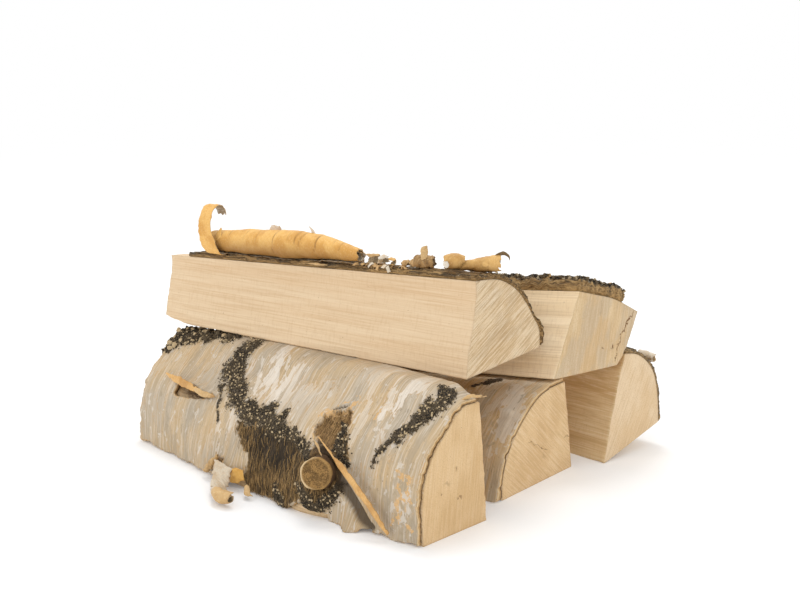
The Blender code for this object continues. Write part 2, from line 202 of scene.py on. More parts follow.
def grid_normals(grid, closed=False):
    """Unit normals of a grid whose rows run along and whose columns run round."""
    along = np.gradient(grid, axis=0)
    if closed:
        round_ = np.roll(grid, -1, axis=1) - np.roll(grid, 1, axis=1)
    else:
        round_ = np.gradient(grid, axis=1)
    normals = np.cross(round_, along)
    return normals / (np.linalg.norm(normals, axis=2)[:, :, None] + 1e-12)


def stand(log, points):
    """Points of a log's frame, in millimetres, at their place in the stack, in metres."""
    turned = np.array(Euler([math.radians(a) for a in log["turns"]]).to_matrix())
    return points.reshape(-1, 3) * MM @ turned.T + np.array(log["place"]) + STACK_SHIFT


def make_piece(name, points, faces, materials, slots=None, marks=None):
    """A mesh object at the origin, with its marks as attributes that the materials read."""
    mesh = bpy.data.meshes.new(name)
    mesh.from_pydata(points.tolist(), [], faces)
    for material in materials:
        mesh.materials.append(material)
    if slots is not None:
        mesh.polygons.foreach_set("material_index", np.asarray(slots, dtype=np.int32))
    for mark, values in (marks or {}).items():
        kind = "FLOAT_VECTOR" if values.ndim == 2 else "FLOAT"
        field = "vector" if values.ndim == 2 else "value"
        attribute = mesh.attributes.new(mark, kind, "POINT")
        attribute.data.foreach_set(field, values.astype(np.float32).ravel())
    mesh.polygons.foreach_set("use_smooth", np.ones(len(mesh.polygons), dtype=bool))
    mesh.update()
    piece = bpy.data.objects.new(name, mesh)
    bpy.context.scene.collection.objects.link(piece)
    return piece


def hand_over(piece, slot, *nodes):
    """Every piece stands still on the stack's one body, and may take the place of CAD nodes."""
    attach(piece, "root")
    if nodes:
        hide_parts(*nodes)


def add_piece(name, log, made, paints, slot, *nodes):
    """Stands what was made in a log's frame in the stack, as a piece of its own."""
    points, faces, *slots, marks = made
    piece = make_piece(name, stand(log, points), faces, paints, slots[0] if slots else None, marks)
    hand_over(piece, slot, *nodes)
    return piece


def dye(red, green, blue):
    """An sRGB colour, in parts of 255, for a shader."""
    return tuple(((c / 255 + 0.055) / 1.055) ** 2.4 for c in (red, green, blue)) + (1.0,)


class Finish:
    """A procedural surface, built up node by node from a ground colour.

    A value is a number, a node's output or the name of a mark on the mesh, and a colour is a node's
    output or red, green and blue in parts of 255.
    """

    def __init__(self, name, roughness):
        self.material = bpy.data.materials.new(name)
        self.material.use_nodes = True
        self.tree = self.material.node_tree
        self.shader = self.tree.nodes["Principled BSDF"]
        self.shader.inputs["Roughness"].default_value = roughness
        self.shader.inputs["Specular IOR Level"].default_value = 0.25
        self.bump = self.colour = None

    def add(self, kind, **settings):
        node = self.tree.nodes.new(kind)
        for setting, value in settings.items():
            setattr(node, setting, value)
        return node

    def feed(self, socket, value):
        if isinstance(value, str):
            value = self.add("ShaderNodeAttribute", attribute_name=value).outputs["Fac"]
        if isinstance(value, bpy.types.NodeSocket):
            self.tree.links.new(value, socket)
        else:
            socket.default_value = value

    def place(self, stretch, turn=0.0):
        """The piece's own place on its log, in millimetres, turned about the log and stretched."""
        mark = self.add("ShaderNodeAttribute", attribute_name="place")
        turned = self.add("ShaderNodeMapping")
        self.feed(turned.inputs["Vector"], mark.outputs["Vector"])
        turned.inputs["Rotation"].default_value = (turn, 0, 0)
        mapping = self.add("ShaderNodeMapping")
        self.feed(mapping.inputs["Vector"], turned.outputs["Vector"])
        mapping.inputs["Scale"].default_value = stretch
        return mapping.outputs["Vector"]

    def noise(self, where, detail=3.0, grit=0.55, warp=0.0):
        """Fractal noise over a place, or over the log's own place when a stretch is given."""
        node = self.add("ShaderNodeTexNoise")
        self.feed(node.inputs["Vector"], self.place(where) if isinstance(where, tuple) else where)
        for socket, value in (("Scale", 1.0), ("Detail", detail), ("Roughness", grit),
                              ("Distortion", warp)):
            node.inputs[socket].default_value = value
        return node.outputs["Fac"]

    def calc(self, operation, a, b=0.0):
        node = self.add("ShaderNodeMath", operation=operation)
        self.feed(node.inputs[0], a)
        self.feed(node.inputs[1], b)
        return node.outputs[0]

    def plus(self, a, b):
        return self.calc("ADD", a, b)

    def times(self, a, b):
        return self.calc("MULTIPLY", a, b)

    def frayed(self, value, noise_value, share):
        """A value whose edges are broken up by a share of a noise."""
        return self.plus(value, self.times(noise_value, share))

    def step(self, value, low, high, top=1.0):
        node = self.add("ShaderNodeMapRange", interpolation_type="SMOOTHSTEP")
        self.feed(node.inputs["Value"], value)
        node.inputs["From Min"].default_value = low
        node.inputs["From Max"].default_value = high
        node.inputs["To Max"].default_value = top
        return node.outputs["Result"]

    def blend(self, share, a, b):
        node = self.add("ShaderNodeMix", data_type="RGBA")
        self.feed(node.inputs[0], share)
        for socket, colour in ((node.inputs[6], a), (node.inputs[7], b)):
            self.feed(socket, dye(*colour) if isinstance(colour, tuple) else colour)
        return node.outputs[2]

    def grade(self, value, low, high, a, b, top=1.0):
        """From one colour to another as the value goes from low to high."""
        return self.blend(self.step(value, low, high, top), a, b)

    def cover(self, share, colour):
        self.colour = self.blend(share, self.colour, colour)

    def stain(self, value, low, high, colour, top=1.0):
        """Lays a colour over the surface, up to a share of top, as the value goes from low to high."""
        self.cover(self.step(value, low, high, top), colour)

    def scar(self, start, end, wide):
        """1 on a dotted, wavering line between two places across and up the log, 0 beside it."""
        length = math.dist(start, end)
        ahead = ((end[0] - start[0]) / length, (end[1] - start[1]) / length)
        place = self.place((1, 1, 1))

        def along(way):
            node = self.add("ShaderNodeVectorMath", operation="DOT_PRODUCT")
            self.feed(node.inputs[0], place)
            node.inputs[1].default_value = (0, way[0], way[1])
            return self.calc("SUBTRACT", node.outputs["Value"], start[0] * way[0] + start[1] * way[1])
        run, beside = along(ahead), along((-ahead[1], ahead[0]))
        waver = self.calc("SUBTRACT", self.noise((0.2, 0.2, 0.2)), 0.5)
        beside = self.calc("ABSOLUTE", self.frayed(beside, waver, 9.0))
        line = self.step(beside, wide, 0.4 * wide)
        line = self.times(line, self.step(run, -1.5 * wide, wide))
        line = self.times(line, self.step(run, length + 1.5 * wide, length - wide))
        return self.times(line, self.step(self.noise((0.7, 0.7, 0.7), 2), 0.36, 0.5))

    def relief(self, height, depth):
        """Bump as deep as depth, in millimetres, over what is there already."""
        node = self.add("ShaderNodeBump")
        self.feed(node.inputs["Height"], height)
        node.inputs["Distance"].default_value = depth * MM
        node.inputs["Strength"].default_value = 1.0
        if self.bump:
            self.feed(node.inputs["Normal"], self.bump)
        self.bump = node.outputs["Normal"]

    def done(self):
        self.feed(self.shader.inputs["Base Color"], self.colour)
        if self.bump:
            self.feed(self.shader.inputs["Normal"], self.bump)
        return self.material


def split_wood_finish(name, pale=(226, 200, 164), tan=(217, 187, 146), grain=1.0):
    """Raw split birch: even cream wood with fine long grain and a few brown specks."""
    finish = Finish(name, 0.72)
    bands = finish.noise((0.004, 0.06, 0.06), 2, 0.5)
    finish.colour = finish.grade(bands, 0.4, 0.62, pale, tan)
    lines = finish.noise((0.012, 0.8, 0.8), 4, 0.62, 0.2)
    finish.stain(lines, 0.49, 0.62, (188, 150, 104), 0.42 * grain)
    finish.stain(lines, 0.47, 0.36, (240, 220, 188), 0.4 * grain)
    chatter = finish.noise((0.6, 0.12, 0.12), 3, 0.6)
    finish.stain(chatter, 0.5, 0.66, (192, 156, 112), 0.16)
    dashes = finish.noise((0.3, 1.4, 1.4), 2)
    finish.stain(dashes, 0.735, 0.77, (140, 102, 62), 0.8)
    # Painted shade: the dent under the torn bark, the stain mark, is darkened to near black.
    murk = finish.noise((0.25, 0.6, 0.6), 4, 0.7)
    finish.cover(finish.times("stain", finish.step(murk, 0.2, 0.6)), (66, 46, 30))
    finish.relief(lines, 0.3 * grain)
    finish.relief(finish.noise((0.08, 2.4, 2.4), 3), 0.14 * grain)
    return finish.done()


def sawn_finish(name, angle, kerf, pale=(222, 195, 153), tan=(212, 181, 137), grey=0.0, scars=()):
    """A sawn birch end: close fine scratches at the saw's angle, over speckled end grain."""
    finish = Finish(name, 0.85)
    turn = math.radians(-angle)
    blotch = finish.noise((0.03, 0.03, 0.03), 3, 0.5)
    finish.colour = finish.grade(blotch, 0.4, 0.62, pale, tan)
    dull = finish.noise(finish.place((0.02, 0.03, 0.09), turn), 3)
    finish.stain(dull, 0.45, 0.6, (196, 178, 152), grey)
    scratches = finish.noise(finish.place((0.1, 0.03, 0.8), turn), 4, 0.66, 0.12)
    finish.stain(scratches, 0.5, 0.6, (174, 140, 98), 0.5 * kerf)
    finish.stain(scratches, 0.49, 0.4, (240, 222, 194), 0.45 * kerf)
    pores = finish.noise((1.0, 1.0, 1.0), 3, 0.7)
    finish.stain(pores, 0.5, 0.62, (184, 150, 104), 0.35)
    spots = finish.noise((0.36, 0.36, 0.36), 3, 0.7)
    finish.stain(spots, 0.70, 0.74, (122, 88, 52), 0.75)
    for start, end, wide, strength in scars:
        finish.cover(finish.times(finish.scar(start, end, wide), strength), (112, 76, 40))
    finish.relief(scratches, 0.7 * kerf)
    finish.relief(pores, 0.12)
    return finish.done()


FLAT_CELL = 4.5    # the sides that aren't split are coarser
CAP_RINGS = 26
BARK_SIDE = 30     # a hollow is only in the bark's side of the wood, up to here across


def ring_faces(rings, count):
    """The quads between rings of points, each ring closed on itself."""
    return [(i * count + j, i * count + (j + 1) % count,
             (i + 1) * count + (j + 1) % count, (i + 1) * count + j)
            for i in range(rings - 1) for j in range(count)]


def log_body(log, long_cell, fine_cell, kerf_angle, kerf_depth, hollow=None):
    """The whole wood of a log: rings of points along it and a sawn face over each end."""
    rows = int(log["length"] / long_cell) + 1
    ts = np.linspace(0, 1, rows)
    strips, shares, fineness = [], [], []
    for side, (kind, _) in enumerate(log["sides"]):
        count = max(4, round(side_length(log, side) / (fine_cell if kind == "split" else FLAT_CELL)))
        share = np.linspace(0, 1, count + 1)[:-1]
        strips.append(side_points(log, side, ts, share))
        shares.append(share)
        fineness.append(np.full(count, 1.0 if kind == "split" else 0.0))
    ring = np.concatenate(strips, axis=1)
    share, split = np.concatenate(shares), np.concatenate(fineness)
    normals = grid_normals(ring, closed=True)
    x, y, z = np.moveaxis(ring, 2, 0)
    girth = np.cumsum(np.linalg.norm(np.diff(ring[0], axis=0, append=ring[0][:1]), axis=1))[None, :]
    seed = len(log["name"]) * 3.1
    fibres = 0.22 * mottle(x / 60, girth / 1.9, seed) + 0.3 * mottle(x / 110, girth / 6.5, seed + 2)
    chips = -0.5 * ease(mottle(x / 9, 0 * x + 3.3, seed + 5), 0.35, 1.0)
    from_edge = np.minimum(share, 1 - share)
    lift = split * (fibres * ease(from_edge, 0, 0.04) + chips * np.exp(-from_edge * 60))
    ring = ring + normals * lift[:, :, None]
    dip = np.zeros(ring.shape[:2])
    if hollow:
        along, up, long_reach, high_reach, depth = hollow
        dip = np.exp(-(((x + along) / long_reach) ** 2 + ((z - up) / high_reach) ** 2) ** 2)
        dip *= y < BARK_SIDE
        ring = ring - normals * (dip * depth)[:, :, None]
    count = ring.shape[1]
    # The stain mark is the dent under the torn bark, which the wood's finish darkens as painted shade.
    points, stains, faces = [ring.reshape(-1, 3)], [dip.ravel()], ring_faces(rows, count)
    slots = [0] * len(faces)
    turn = math.radians(kerf_angle)
    for end, out in ((0, 1.0), (rows - 1, -1.0)):
        edge = ring[end]
        middle = edge.mean(axis=0)
        inward = np.linspace(0, 1, CAP_RINGS + 2)[1:-1, None, None]
        cap = edge[None] * (1 - inward) + middle * inward
        drop = -cap[:, :, 1] * math.sin(turn) + cap[:, :, 2] * math.cos(turn)
        run = cap[:, :, 1] * math.cos(turn) + cap[:, :, 2] * math.sin(turn)
        saw = mottle(drop / 2.3, run / 60, seed + 7, 2) + 0.5 * mottle(drop / 7, run / 90, seed + 8, 2)
        cap[:, :, 0] += out * kerf_depth * saw * ease(inward[:, :, 0], 0, 0.12)
        first = sum(len(p) for p in points)
        points += [cap.reshape(-1, 3), middle[None]]
        stains.append(np.zeros(CAP_RINGS * count + 1))
        rings = [end * count] + [first + k * count for k in range(CAP_RINGS)]
        fan = [(outer + j, inner + j, inner + (j + 1) % count, outer + (j + 1) % count)
               for outer, inner in zip(rings[:-1], rings[1:]) for j in range(count)]
        tip = first + CAP_RINGS * count
        fan += [(rings[-1] + j, tip, rings[-1] + (j + 1) % count) for j in range(count)]
        faces += fan if out > 0 else [face[::-1] for face in fan]
        slots += [1] * len(fan)
    points = np.concatenate(points)
    return points, faces, slots, dict(place=points.copy(), stain=np.concatenate(stains))


# Where the bark is torn open, the wood has a dent, darkened with painted shade: along, up, its reach both
# ways, its depth
TORN_DENT = (268, 57, 22, 8, 3.0)
# Stains and cracks on a sawn end: from, to (across, up), half width, strength
FRONT_SPOTS = (((21, 39), (25, 38), 2.2, 0.35), ((34, 26), (38, 25), 1.3, 0.6),
               ((31, 48), (31.5, 46), 1.2, 0.6), ((17, 34), (18, 33), 0.8, 0.8))
add_piece("front_log_wood_fine", FRONT,
          log_body(FRONT, long_cell=2.2, fine_cell=1.8, kerf_angle=82, kerf_depth=0.14, hollow=TORN_DENT),
          [split_wood_finish("front_split_wood", pale=(222, 194, 154), tan=(212, 178, 132)),
           sawn_finish("front_sawn_end", angle=84, kerf=0.3, pale=(222, 190, 145), tan=(212, 178, 131),
                       scars=FRONT_SPOTS)],
          "split_wood", "front_log_wood")


# The knot: the stub of a branch, sawn off, that stands out of the bark in a raised dark collar
KNOT_FACE = Vector((-85.5, -22, 36))
KNOT_OUT = Vector((0.42, -0.88, 0.2)).normalized()
KNOT_RADIUS = 11.9
KNOT_LENGTH = 26


def knot_stub():
    """Rings of a short tapered stub, and rings over its sawn face with a low dished middle."""
    turn = KNOT_OUT.to_track_quat("Z", "Y").to_matrix()
    count, rings = 96, []
    angles = np.linspace(0, 2 * math.pi, count, endpoint=False)
    wobble = 1 + 0.035 * np.sin(2 * angles + 0.8) + 0.02 * np.sin(5 * angles) + 0.01 * np.sin(11 * angles)
    for depth in np.linspace(KNOT_LENGTH, 0.8, 14):
        wide = KNOT_RADIUS * (1 + 0.12 * depth / KNOT_LENGTH)
        rings.append((wide * wobble, -depth))
    rings.append(((KNOT_RADIUS - 0.5) * wobble, -0.1))
    for share in np.linspace(0.93, 0.04, 22):
        dish = -0.9 * (1 - share) + 0.25 * np.sin(share * 38) * share
        rings.append((KNOT_RADIUS * share * wobble, dish + 0.35 * mottle(angles * 2, share * 9, 4.0)))
    points, radii = [], []
    for wide, high in rings:
        flat = np.column_stack([np.cos(angles) * wide, np.sin(angles) * wide, np.zeros(count) + high])
        points.append(flat)
        radii.append(np.broadcast_to(wide / KNOT_RADIUS, (count,)) * (1 if np.all(high > -1.6) else 2))
    last = len(points)
    points = np.concatenate(points + [np.array([[0, 0, -0.9], [0, 0, -KNOT_LENGTH]])])
    faces = ring_faces(last, count)
    top, root = last * count, last * count + 1
    faces += [((last - 1) * count + j, (last - 1) * count + (j + 1) % count, top) for j in range(count)]
    faces += [((j + 1) % count, j, root) for j in range(count)]
    local = points @ np.array(turn).T + np.array(KNOT_FACE)
    return local, faces, dict(place=points, rim=np.concatenate(radii + [[0, 2]]))


def knot_finish():
    """Old sawn branch wood: brown, ringed, speckled, with a paler rim that is palest on one side."""
    finish = Finish("knot_face", 0.8)
    tone = finish.noise((0.14, 0.14, 0.14), 4, 0.65)
    finish.colour = finish.grade(tone, 0.42, 0.58, (158, 122, 72), (118, 90, 52))
    grit = finish.noise((1.1, 1.1, 1.1), 3, 0.7)
    finish.stain(grit, 0.52, 0.62, (84, 62, 36), 0.7)
    finish.stain(grit, 0.44, 0.36, (190, 152, 96), 0.5)
    rim = finish.step("rim", 0.84, 0.95)
    place = finish.add("ShaderNodeSeparateXYZ")
    finish.feed(place.inputs[0], finish.place((1, 1, 1)))
    # The rim is palest on one side of the knot.
    worn = finish.step(place.outputs[0], 2.0, -8.0)
    finish.cover(finish.times(rim, 0.45), (186, 148, 92))
    finish.cover(finish.times(rim, worn), (222, 194, 150))
    finish.stain("rim", 1.3, 1.9, (96, 74, 52))
    finish.relief(grit, 0.5)
    return finish.done()


add_piece("front_log_knot", FRONT, knot_stub(), [knot_finish()], "split_wood", "front_log_wood")


# The front log's bark: papery white birch bark, 3 to 4 mm thick, that is weathered into streaks.
# Black crust stands out of it in a ridge and bands, and it is torn open in three places.
# Places on the bark are (distance from the near end, distance round it from the lower edge), in mm.
RIDGE_CRUST = ((345, 86, 6), (331, 93, 8), (317, 103, 8), (305, 107, 8), (294, 105, 7), (283, 110, 5),
               (262, 109, 4))
RIDGE_TOP = ((334, 103, 9), (318, 112, 10), (300, 116, 9), (284, 117, 7), (268, 116, 6), (248, 115, 4))
BLACK_BAND = ((236, 116, 4), (231, 108, 5), (236, 97, 10), (238, 84, 11), (223, 74, 9), (214, 67, 8),
              (205, 59, 8), (190, 55, 8), (170, 54, 7), (155, 51, 7), (136, 49, 6), (118, 46, 5),
              (104, 41, 4))
SPURS = (((168, 56, 5), (166, 62, 4)), ((152, 54, 5), (148, 60, 4)), ((134, 50, 5), (128, 55, 3)))
BELOW_KNOT = ((107, 19, 4), (101, 12, 6), (92, 9, 6), (84, 12, 5), (77, 19, 4), (73, 26, 3))
LOWER_CRUST = ((133, 8, 5), (124, 3, 5))
DIAGONAL = ((22, 109, 3), (15, 107, 5), (14, 101, 7), (20, 94, 7), (26, 86, 7), (30, 77, 7), (35, 67, 5),
            (39, 59, 4), (43, 50, 2))
TORN_CRUST = ((90, 66, 2.5), (81, 55, 4), (73, 47, 3.5), (68, 42, 2.5))
BLACK_MARKS = (((236, 66, 3), (231, 60, 2.5)), ((227, 57, 3), (225, 51, 2)), ((221, 46, 3), (217, 42, 2)))
FIBRE_PATCH = ((199, 46), (187, 49), (163, 48), (121, 46), (98, 42), (84, 40), (76, 33), (74, 22), (84, 8),
               (107, 9), (118, 3), (134, 3), (167, 0), (173, 14), (176, 24), (185, 36))
TORN_PATCH = ((110, 54), (110, 66), (103, 72), (90, 78), (84, 74), (80, 62), (68, 44), (72, 40), (84, 46),
              (98, 50))
TONGUE_ROOT = ((198, 20), (206, 18), (215, 8), (213, 2), (203, 4), (199, 12))
TORN_RIM = ((108, 68), (104, 77), (91, 88), (83, 86), (85, 74), (95, 66))
HOLE = ((291, 51), (289, 60), (275, 61), (262, 60.5), (251, 58), (237, 58), (247, 54.5), (258, 51.5),
        (275, 50))
BARE_WOOD = ((119, -5), (117, 4), (108, 8.5), (95, 7.5), (82, 5), (76, -5))
ORANGE_PATCH = ((191, 0), (190, 13), (181, 17), (172, 18), (173, 10), (179, 4))
GROOVE = ((100, 48, 2.5), (88, 44, 3.4), (80, 37, 4), (72, 29, 4.2), (61, 19, 4), (52, 11, 3.6),
          (42, 5, 2.4))
TORN_SLIT = ((107, 73, 0.5), (101, 76, 1.1), (94, 80, 0.6))
SCUFFS = (((26, 46, 2), (17, 46, 3)), ((20, 40, 2.5), (15, 31, 2.5)), ((18, 28, 3.5), (17, 14, 3)),
          ((10, 34, 3), (6, 30, 2)), ((9, 14, 2), (5, 10, 2)), ((26, 13, 2.5), (22, 18, 2)),
          ((60, 76, 1.6), (58, 95, 1.2)), ((112, 67, 2.5), (104, 70, 2.5), (90, 76, 2.5), (86, 84, 2)),
          ((14, 50, 1.5), (12, 38, 2)))
PALE_STREAKS = (((212, 97, 3), (196, 70, 3)), ((201, 112, 3), (178, 74, 3.5)),
                ((186, 110, 2), (168, 68, 2)), ((60, 98, 6), (56, 70, 4)))
LOWER_EDGE = ((345, 1.5), (320, 2.5), (296, 0.8), (262, 2.2), (232, 3), (206, 3.5), (192, 2), (184, 7),
              (173, 9), (167, 1.5), (150, 2.5), (134, 1.5), (118, 1), (70, 0.5), (56, 0), (50, 3), (40, 2),
              (20, 0.8), (0, 0.5))


def band_reach(along, round_, path):
    """1 on a band's middle line, 0 at its edge and less beyond, for a band of changing width."""
    best = np.full(along.shape, -99.0)
    for (a0, r0, w0), (a1, r1, w1) in zip(path[:-1], path[1:]):
        da, dr = a1 - a0, r1 - r0
        share = np.clip(((along - a0) * da + (round_ - r0) * dr) / (da * da + dr * dr), 0, 1)
        away = np.hypot(along - a0 - share * da, round_ - r0 - share * dr)
        best = np.maximum(best, 1 - away / (w0 + (w1 - w0) * share))
    return best


def highest(along, round_, paths):
    """The reach of whichever of several bands reaches furthest."""
    return np.maximum.reduce([band_reach(along, round_, path) for path in paths])


def hump(along, round_, middle, reach):
    """1 at the middle of a soft round patch, and less away from it."""
    return np.exp(-((along - middle[0]) / reach[0]) ** 2 - ((round_ - middle[1]) / reach[1]) ** 2)


def patch_reach(along, round_, outline):
    """How far inside an outline each place is, in millimetres, and less than 0 outside it."""
    away = np.full(along.shape, 1e9)
    inside = np.zeros(along.shape, dtype=bool)
    for (a0, r0), (a1, r1) in zip(outline, outline[1:] + outline[:1]):
        da, dr = a1 - a0, r1 - r0
        share = np.clip(((along - a0) * da + (round_ - r0) * dr) / (da * da + dr * dr), 0, 1)
        away = np.minimum(away, np.hypot(along - a0 - share * da, round_ - r0 - share * dr))
        if dr:
            crossing = (r0 > round_) != (r1 > round_)
            inside ^= crossing & (along < a0 + da * (round_ - r0) / dr)
    return np.where(inside, away, -away)


def lumps(x, y, seed):
    """Distance to the nearest and to the second nearest of scattered points, one to a unit cell."""
    left, low = np.floor(x), np.floor(y)
    nearest, second = np.full(x.shape, 9.0), np.full(x.shape, 9.0)
    for du in (-1, 0, 1):
        for dv in (-1, 0, 1):
            u, v = left + du, low + dv
            place = [np.sin(u * a + v * b + seed * 37.7) * 43758.5453
                     for a, b in ((127.1, 311.7), (269.5, 183.3))]
            u, v = (cell + drawn - np.floor(drawn) for cell, drawn in zip((u, v), place))
            away = np.hypot(x - u, y - v)
            second = np.minimum(second, np.maximum(nearest, away))
            nearest = np.minimum(nearest, away)
    return nearest, second


def torn_shell(outer, inner, keep, marks, layers=1, fray=0.0, seed=0.0):
    """A closed sheet between two grids where keep is above 0, its torn edge drawn smooth.

    The wall round a thick sheet has several layers, which stand out unevenly by up to fray.
    """
    rows, count = keep.shape
    whole = (keep[:-1, :-1] + keep[1:, :-1] + keep[:-1, 1:] + keep[1:, 1:]) / 4 > 0
    used, left_out = np.zeros(keep.shape, bool), np.zeros(keep.shape, bool)
    for di in (0, 1):
        for dj in (0, 1):
            used[di:rows - 1 + di, dj:count - 1 + dj] |= whole
            left_out[di:rows - 1 + di, dj:count - 1 + dj] |= ~whole
    slope_i, slope_j = np.gradient(keep)
    steep = slope_i ** 2 + slope_j ** 2 + 1e-9
    edge = used & left_out
    move_i = np.where(edge, np.clip(-keep * slope_i / steep, -0.5, 0.5), 0)
    move_j = np.where(edge, np.clip(-keep * slope_j / steep, -0.5, 0.5), 0)
    at_i, at_j = np.meshgrid(np.arange(rows, dtype=float), np.arange(count, dtype=float), indexing="ij")
    at_i = np.clip(at_i + move_i, 0, rows - 1 - 1e-6)
    at_j = np.clip(at_j + move_j, 0, count - 1 - 1e-6)
    i, j = at_i.astype(int), at_j.astype(int)
    u, v = at_i - i, at_j - j

    def sampled(table):
        a, b = (u[:, :, None], v[:, :, None]) if table.ndim == 3 else (u, v)
        return ((table[i, j] * (1 - a) + table[i + 1, j] * a) * (1 - b)
                + (table[i, j + 1] * (1 - a) + table[i + 1, j + 1] * a) * b)[used]
    number = np.full(keep.shape, -1)
    number[used] = np.arange(used.sum())
    other = int(used.sum())
    a, b = number[:-1, :-1][whole], number[:-1, 1:][whole]
    c, d = number[1:, 1:][whole], number[1:, :-1][whole]
    front = np.column_stack([a, b, c, d])
    faces = front.tolist() + (front[:, ::-1] + other).tolist()
    framed = np.pad(whole, 1)
    core = framed[1:-1, 1:-1]
    rim = []
    for ours, theirs, missing in ((a, b, framed[:-2, 1:-1]), (b, c, framed[1:-1, 2:]),
                                  (c, d, framed[2:, 1:-1]), (d, a, framed[1:-1, :-2])):
        open_side = ~missing[core]
        rim += zip(ours[open_side].tolist(), theirs[open_side].tolist())
    top, bottom = sampled(outer), sampled(inner)
    made = {name: sampled(table) for name, table in marks.items()}
    deep = np.linalg.norm(top - bottom, axis=1)
    points, shares, rims = [top, bottom], [np.zeros(other), np.ones(other)], [np.zeros(2 * other)]
    copies = [np.arange(other)] * 2
    levels = [np.arange(other)]
    if layers > 1:
        on_rim = np.array(sorted({p for pair in rim for p in pair}))
        run_i, run_j = np.gradient(outer, axis=0), np.gradient(outer, axis=1)
        out = -(slope_i[:, :, None] * run_i / (run_i ** 2).sum(2)[:, :, None]
                + slope_j[:, :, None] * run_j / (run_j ** 2).sum(2)[:, :, None])
        out /= np.linalg.norm(out, axis=2)[:, :, None] + 1e-9
        out = sampled(out)[on_rim]
        run = (made["place"][:, 0] + made["place"][:, 1])[on_rim]
        for level in range(1, layers):
            share = level / layers
            depth = share * deep[on_rim]
            stick = (0.6 * mottle(run / 30, depth / 1.3, seed, 2)
                     + 0.4 * mottle(run / 7, depth / 1.8, seed + 1) + 1.0 * math.sin(math.pi * share) - 0.6)
            point = top[on_rim] * (1 - share) + bottom[on_rim] * share + out * (fray * stick)[:, None]
            lookup = np.full(other, -1)
            lookup[on_rim] = sum(len(p) for p in points) + np.arange(len(on_rim))
            levels.append(lookup)
            points.append(point)
            shares.append(np.full(len(on_rim), share))
            rims.append(np.ones(len(on_rim)))
            copies.append(on_rim)
    levels.append(np.arange(other) + other)
    for p, q in rim:
        faces += [(int(x[q]), int(x[p]), int(y[p]), int(y[q])) for x, y in zip(levels[:-1], levels[1:])]
    copies, shares = np.concatenate(copies), np.concatenate(shares)
    made = {name: table[copies] for name, table in made.items()}
    made["place"][:, 2] += shares * deep[copies]
    made["inside"], made["wall"] = shares, np.concatenate(rims)
    for name in {"crust", "crack"} & set(made):
        made[name] = made[name] * np.clip(1 - 2.2 * shares, 0, 1)
    return np.concatenate(points), faces, made


def flat_marks(along, round_):
    return np.stack([along, round_, np.zeros_like(along)], axis=-1)


def front_thickness(along, round_, share):
    """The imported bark's thickness: thin papery sides, a thick ridge, a collar round the knot."""
    ridge = 7.0 * np.clip((share - 0.72) / 0.2, 0, 1) * np.clip((330 - along) / 90, 0.3, 1)
    away = np.hypot(along - 95, (round_ - 36) * 1.1)
    return 3.6 + ridge + 4.5 * np.exp(-(away / 17) ** 2)


THINNEST = 1.1
OFF_THE_WOOD = 0.3
UNDER_TOP_LOG = 99.6    # the ridge is pressed flat where the top log lies on it


